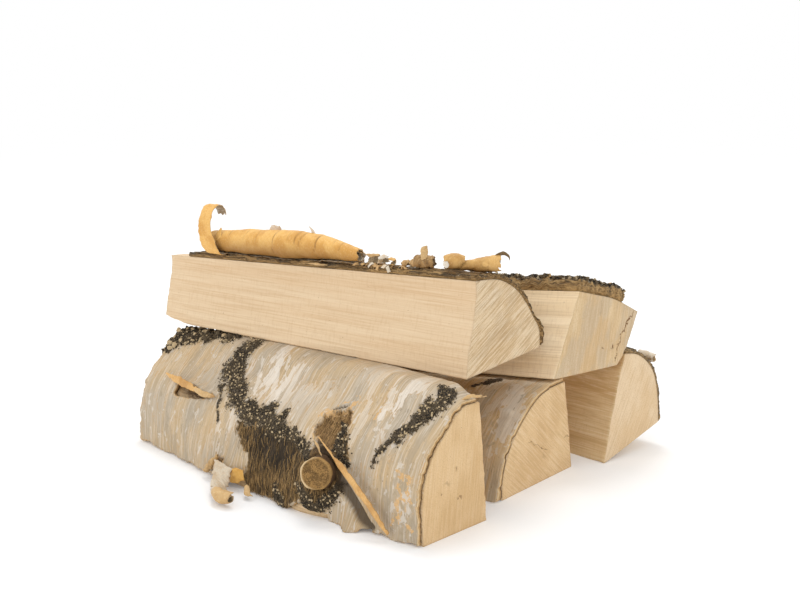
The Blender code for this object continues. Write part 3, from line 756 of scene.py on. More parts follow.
def front_bark():
    """The whole sheet of bark: how thick it is everywhere, where it is torn away, and its marks."""
    rows, count = 271, 112
    ts, shares = np.linspace(0, 1, rows), np.linspace(0, 1, count)
    wood = side_points(FRONT, 0, ts, shares)
    normals = grid_normals(wood)
    girth = side_length(FRONT, 0)
    along, round_ = np.meshgrid(ts * LOG_LENGTH, shares * girth, indexing="ij")
    share = round_ / girth
    torn = 1.6 * mottle(along / 4.2, round_ / 4.2, 1.0) + 0.7 * mottle(along / 1.6, round_ / 1.6, 2.0)

    def wandering(place, seed):
        return (place + 3.2 * mottle(along / 9, round_ / 9, seed)
                + 1.2 * mottle(along / 2.6, round_ / 2.6, seed + 1))

    wander_a, wander_r = wandering(along, 3.0), wandering(round_, 5.0)
    bands = (RIDGE_CRUST, RIDGE_TOP, BLACK_BAND, BELOW_KNOT, LOWER_CRUST, DIAGONAL, TORN_CRUST, *SPURS,
             *BLACK_MARKS)
    crust_in = ease(highest(wander_a, wander_r, bands), -0.45, 0.5)
    heavy = highest(wander_a, wander_r, (RIDGE_CRUST, RIDGE_TOP))
    char = hump(along, round_, (146, 38), (30, 16))
    scuffed = hump(along, round_, (14, 26), (15, 28))
    fibre = ease(patch_reach(wander_a, wander_r, FIBRE_PATCH), -1.5, 3)
    torn_in = torn + np.maximum(patch_reach(along, round_, TORN_PATCH),
                                patch_reach(along, round_, TONGUE_ROOT))
    torn_rim = patch_reach(along, round_, TORN_RIM) + torn
    hole = patch_reach(along, round_, HOLE) + 0.45 * torn
    bare = patch_reach(along, round_, BARE_WOOD) + 0.5 * torn
    groove = ease(band_reach(along, round_, GROOVE), -0.35, 0.3)
    slit = ease(band_reach(along, round_, TORN_SLIT), 0.0, 0.5)
    scuff = highest(wander_a, wander_r, SCUFFS)
    pale = highest(along + 2 * torn, round_ + torn, PALE_STREAKS)

    thick = front_thickness(along, round_, share)
    thick += 0.55 * mottle(along / 30, round_ / 22, 7.0) + 0.22 * mottle(along / 3.2, round_ / 26, 8.0)
    paper = ease(mottle(along / 6.5, round_ / 42, 9.0, 2), 0.05, 0.2)
    thick += 0.35 * paper
    nearest, second = lumps(along / 3.3, round_ / 3.3, 1.0)
    fine, _ = lumps(along / 1.7, round_ / 1.7, 2.0)
    lump = (1 - nearest) * 1.5 + (1 - fine) * 0.7
    thick += crust_in * (lump - 0.7) * (1 + 1.6 * ease(heavy, -0.1, 0.4))
    sheets = mottle(along / 13 + 0.4 * mottle(along / 5, round_ / 9, 31.0), round_ / 44, 32.0, 2)
    thick += (0.45 * ease(sheets, 0.1, 0.16) - 0.4 * ease(sheets, -0.25, -0.31)) * (1 - crust_in)
    thick -= (thick - 2.7) * ease(along, 30, 0) * ease(share, 0.45, 0.8)
    strands = mottle(along / 2.0, round_ / 14, 10.0) + 0.6 * mottle(along / 0.9, round_ / 7, 11.0, 2)
    thick += fibre * (1 - crust_in) * (0.75 * strands - 0.8)
    thick -= 1.9 * ease(torn_in, -0.5, 1.5) * (1 - crust_in) - 0.5 * np.exp(-(torn_in / 1.1) ** 2)
    thick += 0.8 * np.exp(-((torn_rim) / 1.4) ** 2)
    thick -= 2.4 * groove + 1.2 * slit
    thick += 0.5 * ease(scuff, -0.2, 0.3)
    from_knot = wood + normals * thick[:, :, None] - np.array(KNOT_FACE)
    beside = from_knot - (from_knot @ np.array(KNOT_OUT))[:, :, None] * np.array(KNOT_OUT)
    knot_gap = np.linalg.norm(beside, axis=2) - KNOT_RADIUS
    collar = ease(knot_gap, 9.5, 3.0)
    thick += collar * (0.9 * (1 - nearest) + 0.7 * (1 - fine) + 0.5 * np.sin(knot_gap * 1.5))
    thick -= 1.2 * ease(knot_gap, 2.2, 0.4)
    thick = np.maximum(thick, THINNEST)

    end_curl = 0.5 * ease(along, 9, 0) * (0.6 + 0.9 * mottle(round_ / 5, 0 * round_ + 2.2, 12.0))
    lift = mottle(along / 12, 0 * along + 5.1, 13.0)
    bottom_curl = ease(round_, 9, 0) * (0.5 + 1.6 * np.clip(lift, -0.3, 1))
    flare = 13 * np.clip(1 - round_ / 16, 0, 1) ** 1.4 * np.exp(-((along - 57) / 13) ** 2)
    flare += 15 * np.clip(1 - round_ / 24, 0, 1) ** 1.5 * np.exp(-((along - 194) / 10) ** 2)
    hole_lift = 2.2 * np.exp(-((hole + 1.2) / 2.0) ** 2) * (round_ > 57)
    stand_off = OFF_THE_WOOD + np.clip(end_curl, 0, 3) + np.clip(bottom_curl, 0, 3) + flare + hole_lift
    inner = wood + normals * stand_off[:, :, None]
    outer = wood + normals * (stand_off + thick)[:, :, None]
    lower = np.interp(along, *np.array(LOWER_EDGE[::-1]).T)
    for layer in (inner, outer):
        pressed = np.where(share > 0.85, UNDER_TOP_LOG, 1e3)
        layer[:, :, 2] = np.clip(layer[:, :, 2], 0.35 + 0.15 * mottle(along / 7, round_, 14.0), pressed)
    keep = np.minimum.reduce([
        round_ - lower - 0.8 - 0.9 * mottle(along / 3.4, round_ / 8, 15.0)
        - 0.6 * mottle(along / 11, round_, 16.0),
        girth - round_ - 1.2 - 1.2 * mottle(along / 6, round_ / 9, 17.0),
        along - 0.9 - 0.9 * mottle(round_ / 3.6, along / 9, 18.0),
        LOG_LENGTH - along - 1.6 - 1.5 * mottle(round_ / 5, along / 9, 19.0),
        -hole, -bare, knot_gap - 0.5])
    rims = np.maximum.reduce([np.exp(-(np.minimum(keep, 9) / 1.3) ** 2),
                              np.exp(-((torn_in + 0.6) / 1.0) ** 2), 0.9 * np.exp(-(torn_rim / 1.6) ** 2)])
    marks = dict(place=flat_marks(along, round_), crust=crust_in, fibre=np.maximum(fibre, collar * 0.9),
                 torn=np.maximum(ease(torn_in, -0.5, 1.0), ease(knot_gap, 5, 2) * 0.6),
                 orange=np.maximum(np.maximum(0.72 * rims * (1 - crust_in), 0.75 * ease(scuff, -0.1, 0.5)),
                                   1.2 * ease(patch_reach(along, round_, ORANGE_PATCH) + torn, -1, 1.5)),
                 pale=ease(pale, -0.1, 0.6), char=0.9 * char, scuffed=0.42 * scuffed,
                 whiter=hump(along, round_, (185, 88), (42, 30)) + hump(along, round_, (52, 92), (30, 30))
                 + 0.8 * hump(along, round_, (209, 36), (11, 30)),
                 shade=np.maximum.reduce([groove, 0.5 * ease(knot_gap, 2.5, 0.5), slit]))
    ahead = np.gradient(outer, axis=1)
    marks["grain"] = ahead / np.linalg.norm(ahead, axis=2)[:, :, None]
    marks["heavy"] = ease(heavy, -0.1, 0.5)
    marks["fray"] = fibre * (1 - crust_in) * (1 - 0.85 * char) + 0.6 * ease(torn_in, 0, 2) * (1 - crust_in)
    points, faces, marks = torn_shell(outer, inner, keep, marks, layers=5, fray=0.7, seed=20.0)
    for name in ("crust", "fray", "heavy"):
        marks[name + "_on"] = marks[name] * (marks["inside"] < 0.01)
    return points, faces, marks


def white_bark_finish(name, warm=0.5, base=(184, 169, 147), tan=(194, 170, 135)):
    """Papery birch bark: thin peeled sheets in beige, white and grey, crust, and torn tan layers."""
    finish = Finish(name, 0.62)
    cloud = finish.noise((0.03, 0.018, 1), 3, 0.5)
    finish.colour = finish.grade(cloud, 0.4, 0.6, base, tan)
    # Painted shade: the bark is darker towards its lower edge, near the ground.
    height = finish.add("ShaderNodeSeparateXYZ")
    finish.feed(height.inputs[0], finish.place((1, 1, 1)))
    low = finish.frayed(height.outputs[1], cloud, 40.0)
    finish.stain(low, 62, 26, (166, 147, 119), 0.4)
    warm_streak = finish.noise((0.16, 0.016, 11), 4, 0.6, 0.4)
    finish.stain(warm_streak, 0.5, 0.62, (204, 171, 124), 0.2 + 0.5 * warm)
    sheet = finish.noise((0.075, 0.021, 1), 4, 0.62, 0.5)
    finish.stain(sheet, 0.44, 0.42, (162, 150, 132), 0.4)
    whiter = finish.plus(finish.times("whiter", 0.85), 0.08)
    finish.cover(finish.times(finish.step(sheet, 0.535, 0.55), whiter), (224, 213, 198))
    lip = finish.times(finish.step(sheet, 0.525, 0.535), finish.step(sheet, 0.55, 0.54))
    finish.cover(finish.times(lip, 0.45), (190, 150, 98))
    pale = finish.frayed("pale", sheet, 0.8)
    finish.stain(pale, 0.8, 1.08, (226, 216, 202), 0.62)
    lines = finish.noise((0.8, 0.028, 3), 4, 0.62, 0.2)
    finish.stain(lines, 0.5, 0.62, (152, 132, 104), 0.26)
    finish.stain(lines, 0.48, 0.38, (232, 221, 205), 0.32)
    dashes = finish.noise((1.3, 0.3, 5), 2, 0.5)
    where = finish.noise((0.05, 0.05, 9), 2)
    dash = finish.times(finish.step(dashes, 0.66, 0.71), finish.step(where, 0.42, 0.56))
    finish.cover(finish.times(dash, 0.75), (92, 72, 50))
    scuffed = finish.noise((0.3, 0.13, 6), 4, 0.7)
    worn = finish.frayed("scuffed", scuffed, 1.4)
    finish.stain(worn, 1.14, 1.24, (208, 168, 116), 0.55)
    finish.stain(worn, 1.36, 1.42, (222, 214, 204), 0.7)
    flaked = finish.noise((0.15, 0.09, 6), 4, 0.6, 0.6)
    near_end = finish.times("scuffed", 0.25)
    finish.stain(finish.plus(flaked, near_end), 0.62, 0.64, (214, 206, 194), 0.6)
    finish.stain(finish.calc("SUBTRACT", flaked, near_end), 0.35, 0.33, (164, 148, 122), 0.6)
    strands = finish.noise((0.95, 0.085, 3), 5, 0.66, 0.4)
    smudge = finish.noise((0.15, 0.09, 2), 4, 0.65)
    brown = finish.grade(strands, 0.42, 0.54, (60, 48, 34), (132, 106, 68))
    brown = finish.grade(strands, 0.54, 0.63, brown, (196, 156, 102))
    burnt = finish.frayed("char", smudge, 1.6)
    burnt = finish.frayed(burnt, strands, -0.8)
    brown = finish.grade(burnt, 0.5, 0.95, brown, (46, 39, 31), 0.85)
    edge = finish.frayed("fibre", strands, 1.2)
    finish.stain(edge, 1.02, 1.14, brown)
    grit = finish.noise((0.5, 0.4, 1), 5, 0.72)
    ripped = finish.grade(strands, 0.42, 0.58, (116, 88, 54), (168, 132, 84))
    ripped = finish.grade(grit, 0.55, 0.64, ripped, (84, 64, 42), 0.7)
    finish.cover("torn", ripped)
    flare = finish.noise((0.5, 0.35, 3), 4, 0.7)
    peel = finish.grade(flare, 0.42, 0.56, (216, 174, 116), (200, 162, 116))
    peel = finish.grade(flare, 0.56, 0.64, peel, (228, 208, 176))
    fray = finish.frayed("orange", grit, 1.5)
    finish.stain(fray, 1.3, 1.42, peel, 0.9)
    rubble = finish.noise((1.0, 0.9, 1), 4, 0.72)
    patchy = finish.noise((0.09, 0.09, 4), 3)
    black = finish.grade(patchy, 0.46, 0.58, (30, 25, 20), (84, 73, 58))
    black = finish.grade(rubble, 0.5, 0.57, black, (108, 92, 68))
    black = finish.grade(rubble, 0.59, 0.64, black, (192, 168, 130))
    ragged = finish.frayed("crust", rubble, 2.6)
    finish.stain(ragged, 1.88, 2.0, black)
    finish.cover(finish.times("shade", 0.85), (62, 48, 32))
    layer = finish.noise((0.3, 0.3, 2.6), 3, 0.6)
    depth = finish.frayed("inside", layer, 0.7)
    rim = finish.grade(depth, 0.62, 0.8, (222, 194, 150), (188, 150, 100))
    rim = finish.grade(depth, 0.98, 1.1, rim, (116, 90, 58))
    finish.stain("inside", 0.02, 0.1, rim)
    finish.relief(lines, 0.35)
    finish.relief(sheet, 0.6)
    finish.relief(finish.times(rubble, "crust"), 2.2)
    finish.relief(finish.times(strands, "fibre"), 2.0)
    finish.relief(finish.times(grit, "torn"), 1.6)
    return finish.done()


front_bark_piece = add_piece("front_log_bark_fine", FRONT, front_bark(),
                             [white_bark_finish("white_bark_front", 0.2)], "white_bark", "front_log_bark")


# Grains of crust that stand loose on the front log's black bands, and fibres that fray from its torn
# inner bark, strewn by nodes over the bark's own surface where its marks say so
def strewn(name, carrier, where, kind, material, amount, smallest, largest, seed, sink=0.0):
    """Grains, fibres or curly shreds strewn over a carrier, each turned and sized at random.

    The amount is the number to a square metre where the mark is 1, and sizes are in metres.
    """
    tree = bpy.data.node_groups.new(name, "GeometryNodeTree")
    sockets = {"Amount": amount, "Smallest": smallest, "Largest": largest, "Sink": sink, "Seed": seed}
    names = {}
    tree.interface.new_socket("Geometry", in_out="INPUT", socket_type="NodeSocketGeometry")
    for label in sockets:
        number = "NodeSocketInt" if label == "Seed" else "NodeSocketFloat"
        names[label] = tree.interface.new_socket(label, in_out="INPUT", socket_type=number).identifier
    tree.interface.new_socket("Geometry", in_out="OUTPUT", socket_type="NodeSocketGeometry")

    def node(kind, settings=None, first=(), **feeds):
        """A node of the tree: its first sockets are fed in order, and others by their names."""
        made = tree.nodes.new(kind)
        for setting, value in (settings or {}).items():
            setattr(made, setting, value)
        named = [(made.inputs[socket.replace("_", " ")], value) for socket, value in feeds.items()]
        for socket, value in [*zip(made.inputs, first), *named]:
            if isinstance(value, bpy.types.NodeSocket):
                tree.links.new(value, socket)
            elif value is not None:
                socket.default_value = value
        return made

    def marked(mark, field="FLOAT"):
        return node("GeometryNodeInputNamedAttribute", {"data_type": field}, Name=mark).outputs["Attribute"]

    def drawn(low, high, kind="FLOAT"):
        pair = (low, high) if kind == "FLOAT_VECTOR" else (None, None, low, high)
        made = node("FunctionNodeRandomValue", {"data_type": kind}, pair, Seed=given.outputs["Seed"])
        return made.outputs["Value" if kind == "FLOAT_VECTOR" else 1]

    def scaled(vector, scale):
        made = node("ShaderNodeVectorMath", {"operation": "SCALE"}, (vector,), Scale=scale)
        return made.outputs["Vector"]

    fibre = kind == "fibre"
    given = node("NodeGroupInput")
    dense = node("ShaderNodeMath", {"operation": "MULTIPLY"}, (marked(where), given.outputs["Amount"]))
    spots = node("GeometryNodeDistributePointsOnFaces", Mesh=given.outputs["Geometry"],
                 Density=dense.outputs[0], Seed=given.outputs["Seed"])
    if kind == "grain":
        ball = node("GeometryNodeMeshIcoSphere", Radius=0.5, Subdivisions=1)
        dent = node("ShaderNodeTexNoise", Scale=3.0).outputs["Color"]
        dent = node("ShaderNodeVectorMath", {"operation": "SUBTRACT"}, (dent, (0.5, 0.5, 0.5)))
        shape = node("GeometryNodeSetPosition", Geometry=ball.outputs["Mesh"],
                     Offset=dent.outputs["Vector"])
        shape, stretch = shape.outputs["Geometry"], ((0.7, 0.6, 0.3), (1.4, 1.1, 0.7))
    else:
        path = node("GeometryNodeCurveQuadraticBezier", Resolution=4 if fibre else 9,
                    Start=(-0.5, 0.0, 0.0), Middle=(0.0, 0.12, 0.3 if fibre else 0.75),
                    End=(0.5 if fibre else 0.05, 0.2, 0.12))
        section = node("GeometryNodeCurvePrimitiveQuadrilateral", Width=0.03 if fibre else 0.45,
                       Height=0.035)
        strip = node("GeometryNodeCurveToMesh", Curve=path.outputs["Curve"],
                     Profile_Curve=section.outputs["Curve"], Fill_Caps=True)
        shape, stretch = strip.outputs["Mesh"], ((0.8, 0.7, 0.5), (1.2, 1.2, 1.1))
    on_face = node("FunctionNodeAlignRotationToVector", {"axis": "Z"},
                   Vector=spots.outputs["Normal"]).outputs[0]
    if fibre:
        on_face = node("FunctionNodeAlignRotationToVector", {"axis": "X", "pivot_axis": "Z"},
                       Rotation=on_face, Vector=marked("grain", "FLOAT_VECTOR")).outputs[0]
    loose = ((-0.25, -0.3, -0.3), (0.25, 0.1, 0.3)) if fibre else ((-0.6, -0.6, -3.1), (0.6, 0.6, 3.1))
    tilt = node("FunctionNodeEulerToRotation", Euler=drawn(*loose, "FLOAT_VECTOR")).outputs[0]
    turned = node("FunctionNodeRotateRotation", {"rotation_space": "LOCAL"}, Rotation=on_face,
                  Rotate_By=tilt)
    size = scaled(drawn(*stretch, "FLOAT_VECTOR"),
                  drawn(given.outputs["Smallest"], given.outputs["Largest"]))
    seated = node("GeometryNodeSetPosition", Geometry=spots.outputs["Points"],
                  Offset=scaled(spots.outputs["Normal"], given.outputs["Sink"]))
    many = node("GeometryNodeInstanceOnPoints", Points=seated.outputs["Geometry"], Instance=shape,
                Rotation=turned.outputs[0], Scale=size)
    toned = node("GeometryNodeStoreNamedAttribute", {"data_type": "FLOAT", "domain": "INSTANCE"},
                 Geometry=many.outputs["Instances"], Name="tone", Value=drawn(0.0, 1.0))
    real = node("GeometryNodeRealizeInstances", Geometry=toned.outputs["Geometry"])
    painted = node("GeometryNodeSetMaterial", Geometry=real.outputs["Geometry"], Material=material)
    node("NodeGroupOutput", first=(painted.outputs["Geometry"],))

    piece = bpy.data.objects.new(name, carrier.data)
    bpy.context.scene.collection.objects.link(piece)
    nodes = piece.modifiers.new("strewn", "NODES")
    nodes.node_group = tree
    for label, value in sockets.items():
        nodes[names[label]] = value
    made = bpy.data.meshes.new_from_object(piece.evaluated_get(bpy.context.evaluated_depsgraph_get()))
    piece.modifiers.clear()
    piece.data = made
    return piece


def strewn_finish(name, dark, middle, pale, even=0.5):
    """Loose grains and fibres: each one has a tone of its own, from dark through middle to pale."""
    finish = Finish(name, 0.85)
    fine = finish.add("ShaderNodeVectorMath", operation="SCALE")
    finish.feed(fine.inputs[0], finish.add("ShaderNodeTexCoord").outputs["Object"])
    finish.feed(fine.inputs["Scale"], 1100.0)
    grit = finish.noise(fine.outputs["Vector"], 3)
    tone = finish.frayed("tone", grit, 0.3)
    finish.colour = finish.grade(tone, 0.2, 0.3 + even, dark, middle)
    finish.stain(tone, 0.4 + even, 0.5 + even, pale)
    finish.relief(grit, 0.2)
    return finish.done()


grain_paint = strewn_finish("crust_grains", (28, 23, 18), (84, 72, 54), (190, 168, 132), 0.56)
fibre_paint = strewn_finish("bark_fibres", (62, 50, 34), (134, 108, 70), (184, 150, 100), 0.56)
for name, where, amount, smallest, largest, seed in (
        ("front_log_grains", "crust_on", 420000, 0.0006, 0.0021, 3),
        ("front_log_ridge_lumps", "heavy_on", 90000, 0.002, 0.0052, 4)):
    hand_over(strewn(name, front_bark_piece, where, "grain", grain_paint, amount, smallest, largest, seed),
              "crust", "front_log_bark")
fibres = strewn("front_log_fibres", front_bark_piece, "fray_on", "fibre", fibre_paint, 340000, 0.0025,
                0.0075, seed=5, sink=-0.0002)
GROUND_GAP = 0.0002
for end in fibres.data.vertices:  # no fibre reaches into the ground
    end.co.z = max(end.co.z, GROUND_GAP)
hand_over(fibres, "inner_bark", "front_log_bark")


# Torn strips on the front log: the long orange strip beside the knot, the thick tongue that hangs out
# of the bark's lower edge with its rolled tip and its frayed edge, and small flaps where it is torn
def ribbon(spine, widths, directions, rows, count):
    """The middle surface of a strip of bark: its spine, its widths and its width direction."""
    middle = curve_through(spine, rows)
    places = np.linspace(0, 1, rows + 1)
    wide = np.interp(places, np.linspace(0, 1, len(widths)), widths)
    start, end = (np.array(d) / np.linalg.norm(d) for d in directions)
    turned = start + (end - start) * places[:, None]
    offsets = np.linspace(0.5, -0.5, count + 1)
    return middle[:, None] + turned[:, None] * (wide[:, None] * offsets)[:, :, None]


def sheet_of_bark(grid, thickness, seed, ragged=(1.0, 1.0, 0.6), bow=0.0, wrinkle=0.25):
    """A thin sheet with torn edges: ragged at its start, its end and its sides, and a little wavy."""
    rows, count = grid.shape[:2]
    run = np.cumsum(np.linalg.norm(np.diff(grid, axis=0, prepend=grid[:1]), axis=2), axis=0)
    turn = np.cumsum(np.linalg.norm(np.diff(grid, axis=1, prepend=grid[:, :1]), axis=2), axis=1)
    normals = grid_normals(grid)
    share = np.linspace(0, 1, count)[None, :]
    lift = wrinkle * mottle(run / 7, turn / 7, seed) + 0.4 * wrinkle * mottle(run / 2, turn / 2, seed + 1)
    lift = lift + bow * (1 - (2 * share - 1) ** 2)
    grid = grid + normals * lift[:, :, None]
    start, end, sides = ragged
    tear = mottle(turn / 2.6, run / 9, seed + 2)
    side_tear = mottle(run / 3.2, turn / 9, seed + 3)
    keep = np.minimum.reduce([
        run + 0.02 - start * (0.6 + tear), run[-1:] - run + 0.02 - end * (0.6 + tear[::-1]),
        turn + 0.02 - sides * (0.5 + side_tear),
        turn[:, -1:] - turn + 0.02 - sides * (0.5 + side_tear[::-1])])
    thin = thickness * (0.45 + 0.55 * ease(keep, 0, 2.2))[:, :, None] / 2
    marks = dict(place=flat_marks(run, turn + 0 * run))
    return torn_shell(grid + normals * thin, grid - normals * thin, keep, marks)


def add_peel(name, log, grid, paint, *nodes, **cut):
    """A torn sheet of bark over a grid, as a piece of its own."""
    add_piece(name, log, sheet_of_bark(grid, **cut), [paint], "peel", *nodes)


def curl(ends, radii, turns, first_angle, rows, steps, gap=2.2):
    """The middle surface of a rolled-up sheet: the points of its axis and its outer radii."""
    centre = curve_through(ends, rows)[:, None]
    axis = (centre[-1, 0] - centre[0, 0]) / np.linalg.norm(centre[-1, 0] - centre[0, 0])
    side = np.cross((0, 0, 1), axis)
    side /= np.linalg.norm(side)
    top = np.cross(axis, side)
    angles = np.linspace(0, 2 * math.pi * turns, steps + 1)
    places = np.linspace(0, 1, rows + 1)[:, None]
    radius = np.interp(places, np.linspace(0, 1, len(radii)), radii) - gap * angles / (2 * math.pi)
    turned = math.radians(first_angle) + angles
    return (centre + radius[:, :, None]
            * (side * np.cos(turned)[:, None] + top * np.sin(turned)[:, None])[None])


def peel_finish(name, face=(236, 190, 120), deep=(220, 168, 94), back=(196, 184, 164), specks=1.0):
    """The smooth inner face of birch bark: orange tan with fine specks, and painted shade on the lower side of
    rolls; its other face is papery grey.
    """
    finish = Finish(name, 0.5)
    cloud = finish.noise((0.05, 0.05, 1), 3, 0.55)
    finish.colour = finish.grade(cloud, 0.42, 0.6, face, deep)
    fine = finish.noise((0.9, 0.5, 1), 4, 0.65)
    finish.stain(fine, 0.52, 0.64, (204, 150, 80), 0.4)
    finish.stain(fine, 0.46, 0.36, (246, 212, 154), 0.35)
    dots = finish.noise((0.55, 0.8, 4), 2, 0.5)
    finish.stain(dots, 0.72, 0.75, (140, 98, 52), 0.6 * specks)
    # Darker along the roll's ring creases, and painted shade on the lower side of the rolls.
    finish.cover(finish.times("crease", 0.8), (134, 92, 46))
    papery = finish.noise((0.35, 0.08, 1), 4, 0.6)
    grey = finish.grade(papery, 0.43, 0.58, back, (158, 138, 108))
    finish.cover("inside", grey)
    finish.relief(fine, 0.3)
    finish.relief(finish.noise((0.16, 0.05, 1), 3), 0.7)
    return finish.done()


strip_peel = peel_finish("strip_peel", (218, 172, 108), (192, 144, 84), (184, 140, 90))
STRIP = ribbon(((-98, -7.0, 57.5), (-88, -9.5, 53.5), (-71, -13, 45.5), (-54, -14.5, 34.5),
                (-38.5, -14, 22.5), (-27, -12.5, 10.5), (-23, -11.0, 5.5)),
               widths=(0.8, 1.8, 2.4, 2.8, 5.8, 6.4, 6.6, 6.6, 6.4, 6.2, 6.0, 5.2, 2.6),
               directions=((0.62, 0, 0.78), (0.66, -0.1, 0.7)), rows=120, count=12)
add_peel("front_log_strip_fine", FRONT, STRIP, strip_peel, "front_log_peeled_strip",
         thickness=1.5, seed=21.0, ragged=(1.5, 1.5, 0.5), bow=0.8)

TONGUE = ribbon(((-194, -22.5, 17), (-189, -28, 12), (-182, -35, 9), (-174, -42, 7), (-166, -47.5, 6),
                 (-162, -50, 5)),
                widths=(25, 22, 19, 16, 14, 11), directions=((1, 0.0, -0.1), (0.8, 0.6, -0.1)),
                rows=60, count=30)
tongue_peel = peel_finish("tongue_peel", (208, 196, 176), (192, 172, 144), (172, 132, 84), 0.5)
add_peel("front_log_tongue_fine", FRONT, TONGUE, tongue_peel, "front_log_bark_tongue",
         thickness=2.4, seed=25.0, ragged=(0.5, 1.5, 1.5), bow=2.2, wrinkle=0.5)

orange_peel = peel_finish("orange_peel", (226, 176, 92), (202, 148, 68))
torn_peel = peel_finish("torn_peel", (206, 172, 122), (176, 138, 90), (190, 168, 134))
FLAPS = (
    dict(spine=((-306, 1.0, 66.2), (-296, -0.5, 65.3), (-280, -1.5, 63.8), (-262, -1.5, 61.2),
                (-250, -0.5, 60)),
         widths=(1.2, 6, 8.5, 6.5, 2), directions=((0, 0.2, 1), (0, 0.2, 1)), rows=60, count=14),
    dict(spine=((-262, -1.5, 61), (-250, -2.5, 60), (-240, -2, 59.5), (-232, -0.5, 60)), widths=(2, 6, 5, 1.5),
         directions=((0, 0.25, 1), (0, 0.3, 1)), rows=36, count=12),
    dict(spine=((-191, -21.5, 7), (-185, -22.4, 9.5), (-178, -21.8, 11.5), (-171, -20.2, 13)),
         widths=(7, 12, 13, 9), directions=((0, -0.15, 1), (0, -0.1, 1)), rows=40, count=26),
    dict(spine=((-163, -24, 8), (-158, -28, 6), (-154, -30, 4.4), (-151, -29, 3.2)), widths=(3, 5, 5, 3),
         directions=((0.7, 0.6, 0.3), (0.5, 0.8, 0.2)), rows=24, count=10),
    dict(spine=((-4, 44, 94.6), (0, 48, 95.8), (3, 54, 95.0), (4, 60, 94.4)), widths=(8, 5, 2.4, 1.2),
         directions=((0.2, 0.4, 0.3), (0.3, 0.2, 0.7)), rows=24, count=8),
    dict(spine=((-104, -8.5, 61), (-98, -11.5, 57), (-90, -13.5, 50), (-84, -14.5, 45)),
         widths=(0.8, 2.6, 3.2, 1), directions=((0.62, 0, 0.78), (0.66, -0.1, 0.7)), rows=30, count=8),
)
for number, flap in enumerate(FLAPS, 1):
    paint = {1: strip_peel, 3: orange_peel}.get(number, torn_peel)
    add_peel(f"front_log_flap_{number}", FRONT, ribbon(**flap), paint,
             thickness=0.8, seed=30.0 + number, ragged=(0.6, 1.2, 0.9), bow=0.5)

TONGUE_TIP = curl(((-170, -48.5, 7.4), (-160, -50.5, 6.7), (-149, -48, 7.2)), radii=(4.4, 5.2, 5.2, 4.4),
                  turns=1.3, first_angle=60, rows=30, steps=48)
add_peel("front_log_tongue_tip", FRONT, TONGUE_TIP, torn_peel, "front_log_bark_tongue",
         thickness=1.0, seed=28.0, ragged=(1.2, 1.2, 0.8), wrinkle=0.5)

# The brown frayed roll along the tongue's left edge, where it tore out of the bark
TONGUE_EDGE = curl(((-206, -19.0, 21), (-212, -21.5, 13), (-220, -22.5, 6)), radii=(1.6, 3.0, 3.4, 2.0),
                   turns=0.9, first_angle=200, rows=40, steps=26)
frayed_peel = peel_finish("frayed_peel", (190, 156, 108), (128, 98, 62), (156, 128, 88))
add_peel("front_log_tongue_edge", FRONT, TONGUE_EDGE, frayed_peel, "front_log_bark_tongue",
         thickness=1.0, seed=29.0, ragged=(1.5, 1.5, 1.4), wrinkle=1.1)


# The middle log: a split billet with smooth beige and white bark, which lies beside the front log
MIDDLE = {**PLAIN_LOG, **dict(
    name="middle_log", place=(0.1690, -0.0396, 0.0), turns=(0, 0, 4.5), far_scale=0.745,
    sides=(("bark", ((0, 0), (0.5, 17), (8, 36), (24, 54), (46, 69), (66, 74), (86, 75))),
           ("split", ((86, 75), (92, 45), (97, 20), (100, 0))),
           ("flat", ((100, 0), (0, 0)))))}
MIDDLE_SPOTS = (((35, 38), (62, 24), 0.5, 0.7), ((56, 21), (58, 19), 2.6, 0.3),
                ((88, 28), (97, 27), 1.2, 0.5))
add_piece("middle_log_wood_fine", MIDDLE,
          log_body(MIDDLE, long_cell=2.6, fine_cell=1.8, kerf_angle=-35, kerf_depth=0.16),
          [split_wood_finish("middle_split_wood"),
           sawn_finish("middle_sawn_end", angle=-40, kerf=0.5, pale=(224, 192, 147), tan=(214, 180, 134),
                       scars=MIDDLE_SPOTS)],
          "split_wood", "middle_log_wood")

WHITE_PATCH = ((10, 50, 10), (12, 72, 12), (22, 92, 9))
MIDDLE_MARKS = (((52, 94, 3.5), (45, 104, 4.5)), ((59, 88, 2), (55, 91, 2)))


OFF_THE_GROUND = 0.4
WALL_LAYERS = 4


def simple_bark(log, side, thickness, features, rows, count, seed, edge_seed, fray, layers=WALL_LAYERS,
                far_cut=1.6, last=1.0, grounded=False):
    """The bark on one side of a log, from its wood's surface outwards, with torn edges.

    It stops at a share of the way round, last, and at about far_cut from the log's far end.
    """
    ts, shares = np.linspace(0, 1, rows), np.linspace(0, last, count)
    wood = side_points(log, side, ts, shares)
    normals = grid_normals(wood)
    girth = side_length(log, side)
    along, round_ = np.meshgrid(ts * log["length"], shares * girth, indexing="ij")
    thick, marks = features(along, round_, thickness(along, round_, round_ / girth))
    inner = wood + normals * OFF_THE_WOOD
    outer = wood + normals * (OFF_THE_WOOD + thick)[:, :, None]
    near = 0.6 + mottle(round_ / 3.5, along / 9, seed)
    far = 1.2 * near + far_cut * (0.85 + 0.25 * mottle(round_ / 9, along / 19, seed + 1))
    keep = np.minimum.reduce([
        along - 0.8 * near, log["length"] - along - far,
        round_ - 0.5 - 0.8 * mottle(along / 4, round_ / 9, seed + 2),
        last * girth - round_ - 0.5 - 0.8 * mottle(along / 4, round_ / 9, seed + 3)])
    marks["place"] = flat_marks(along, round_)
    marks.setdefault("orange", 0.7 * np.exp(-(keep / 1.2) ** 2))
    if grounded:
        for layer in (outer, inner):
            layer[:, :, 2] = np.maximum(layer[:, :, 2], OFF_THE_GROUND)
    return torn_shell(outer, inner, keep, marks, layers, fray, edge_seed)


def middle_thickness(along, round_, share):
    return 3.2 + 5.0 * np.maximum(0, 0.12 - share) / 0.12 + 0.5 * rough(along / 24, round_ / 15, 5.0)


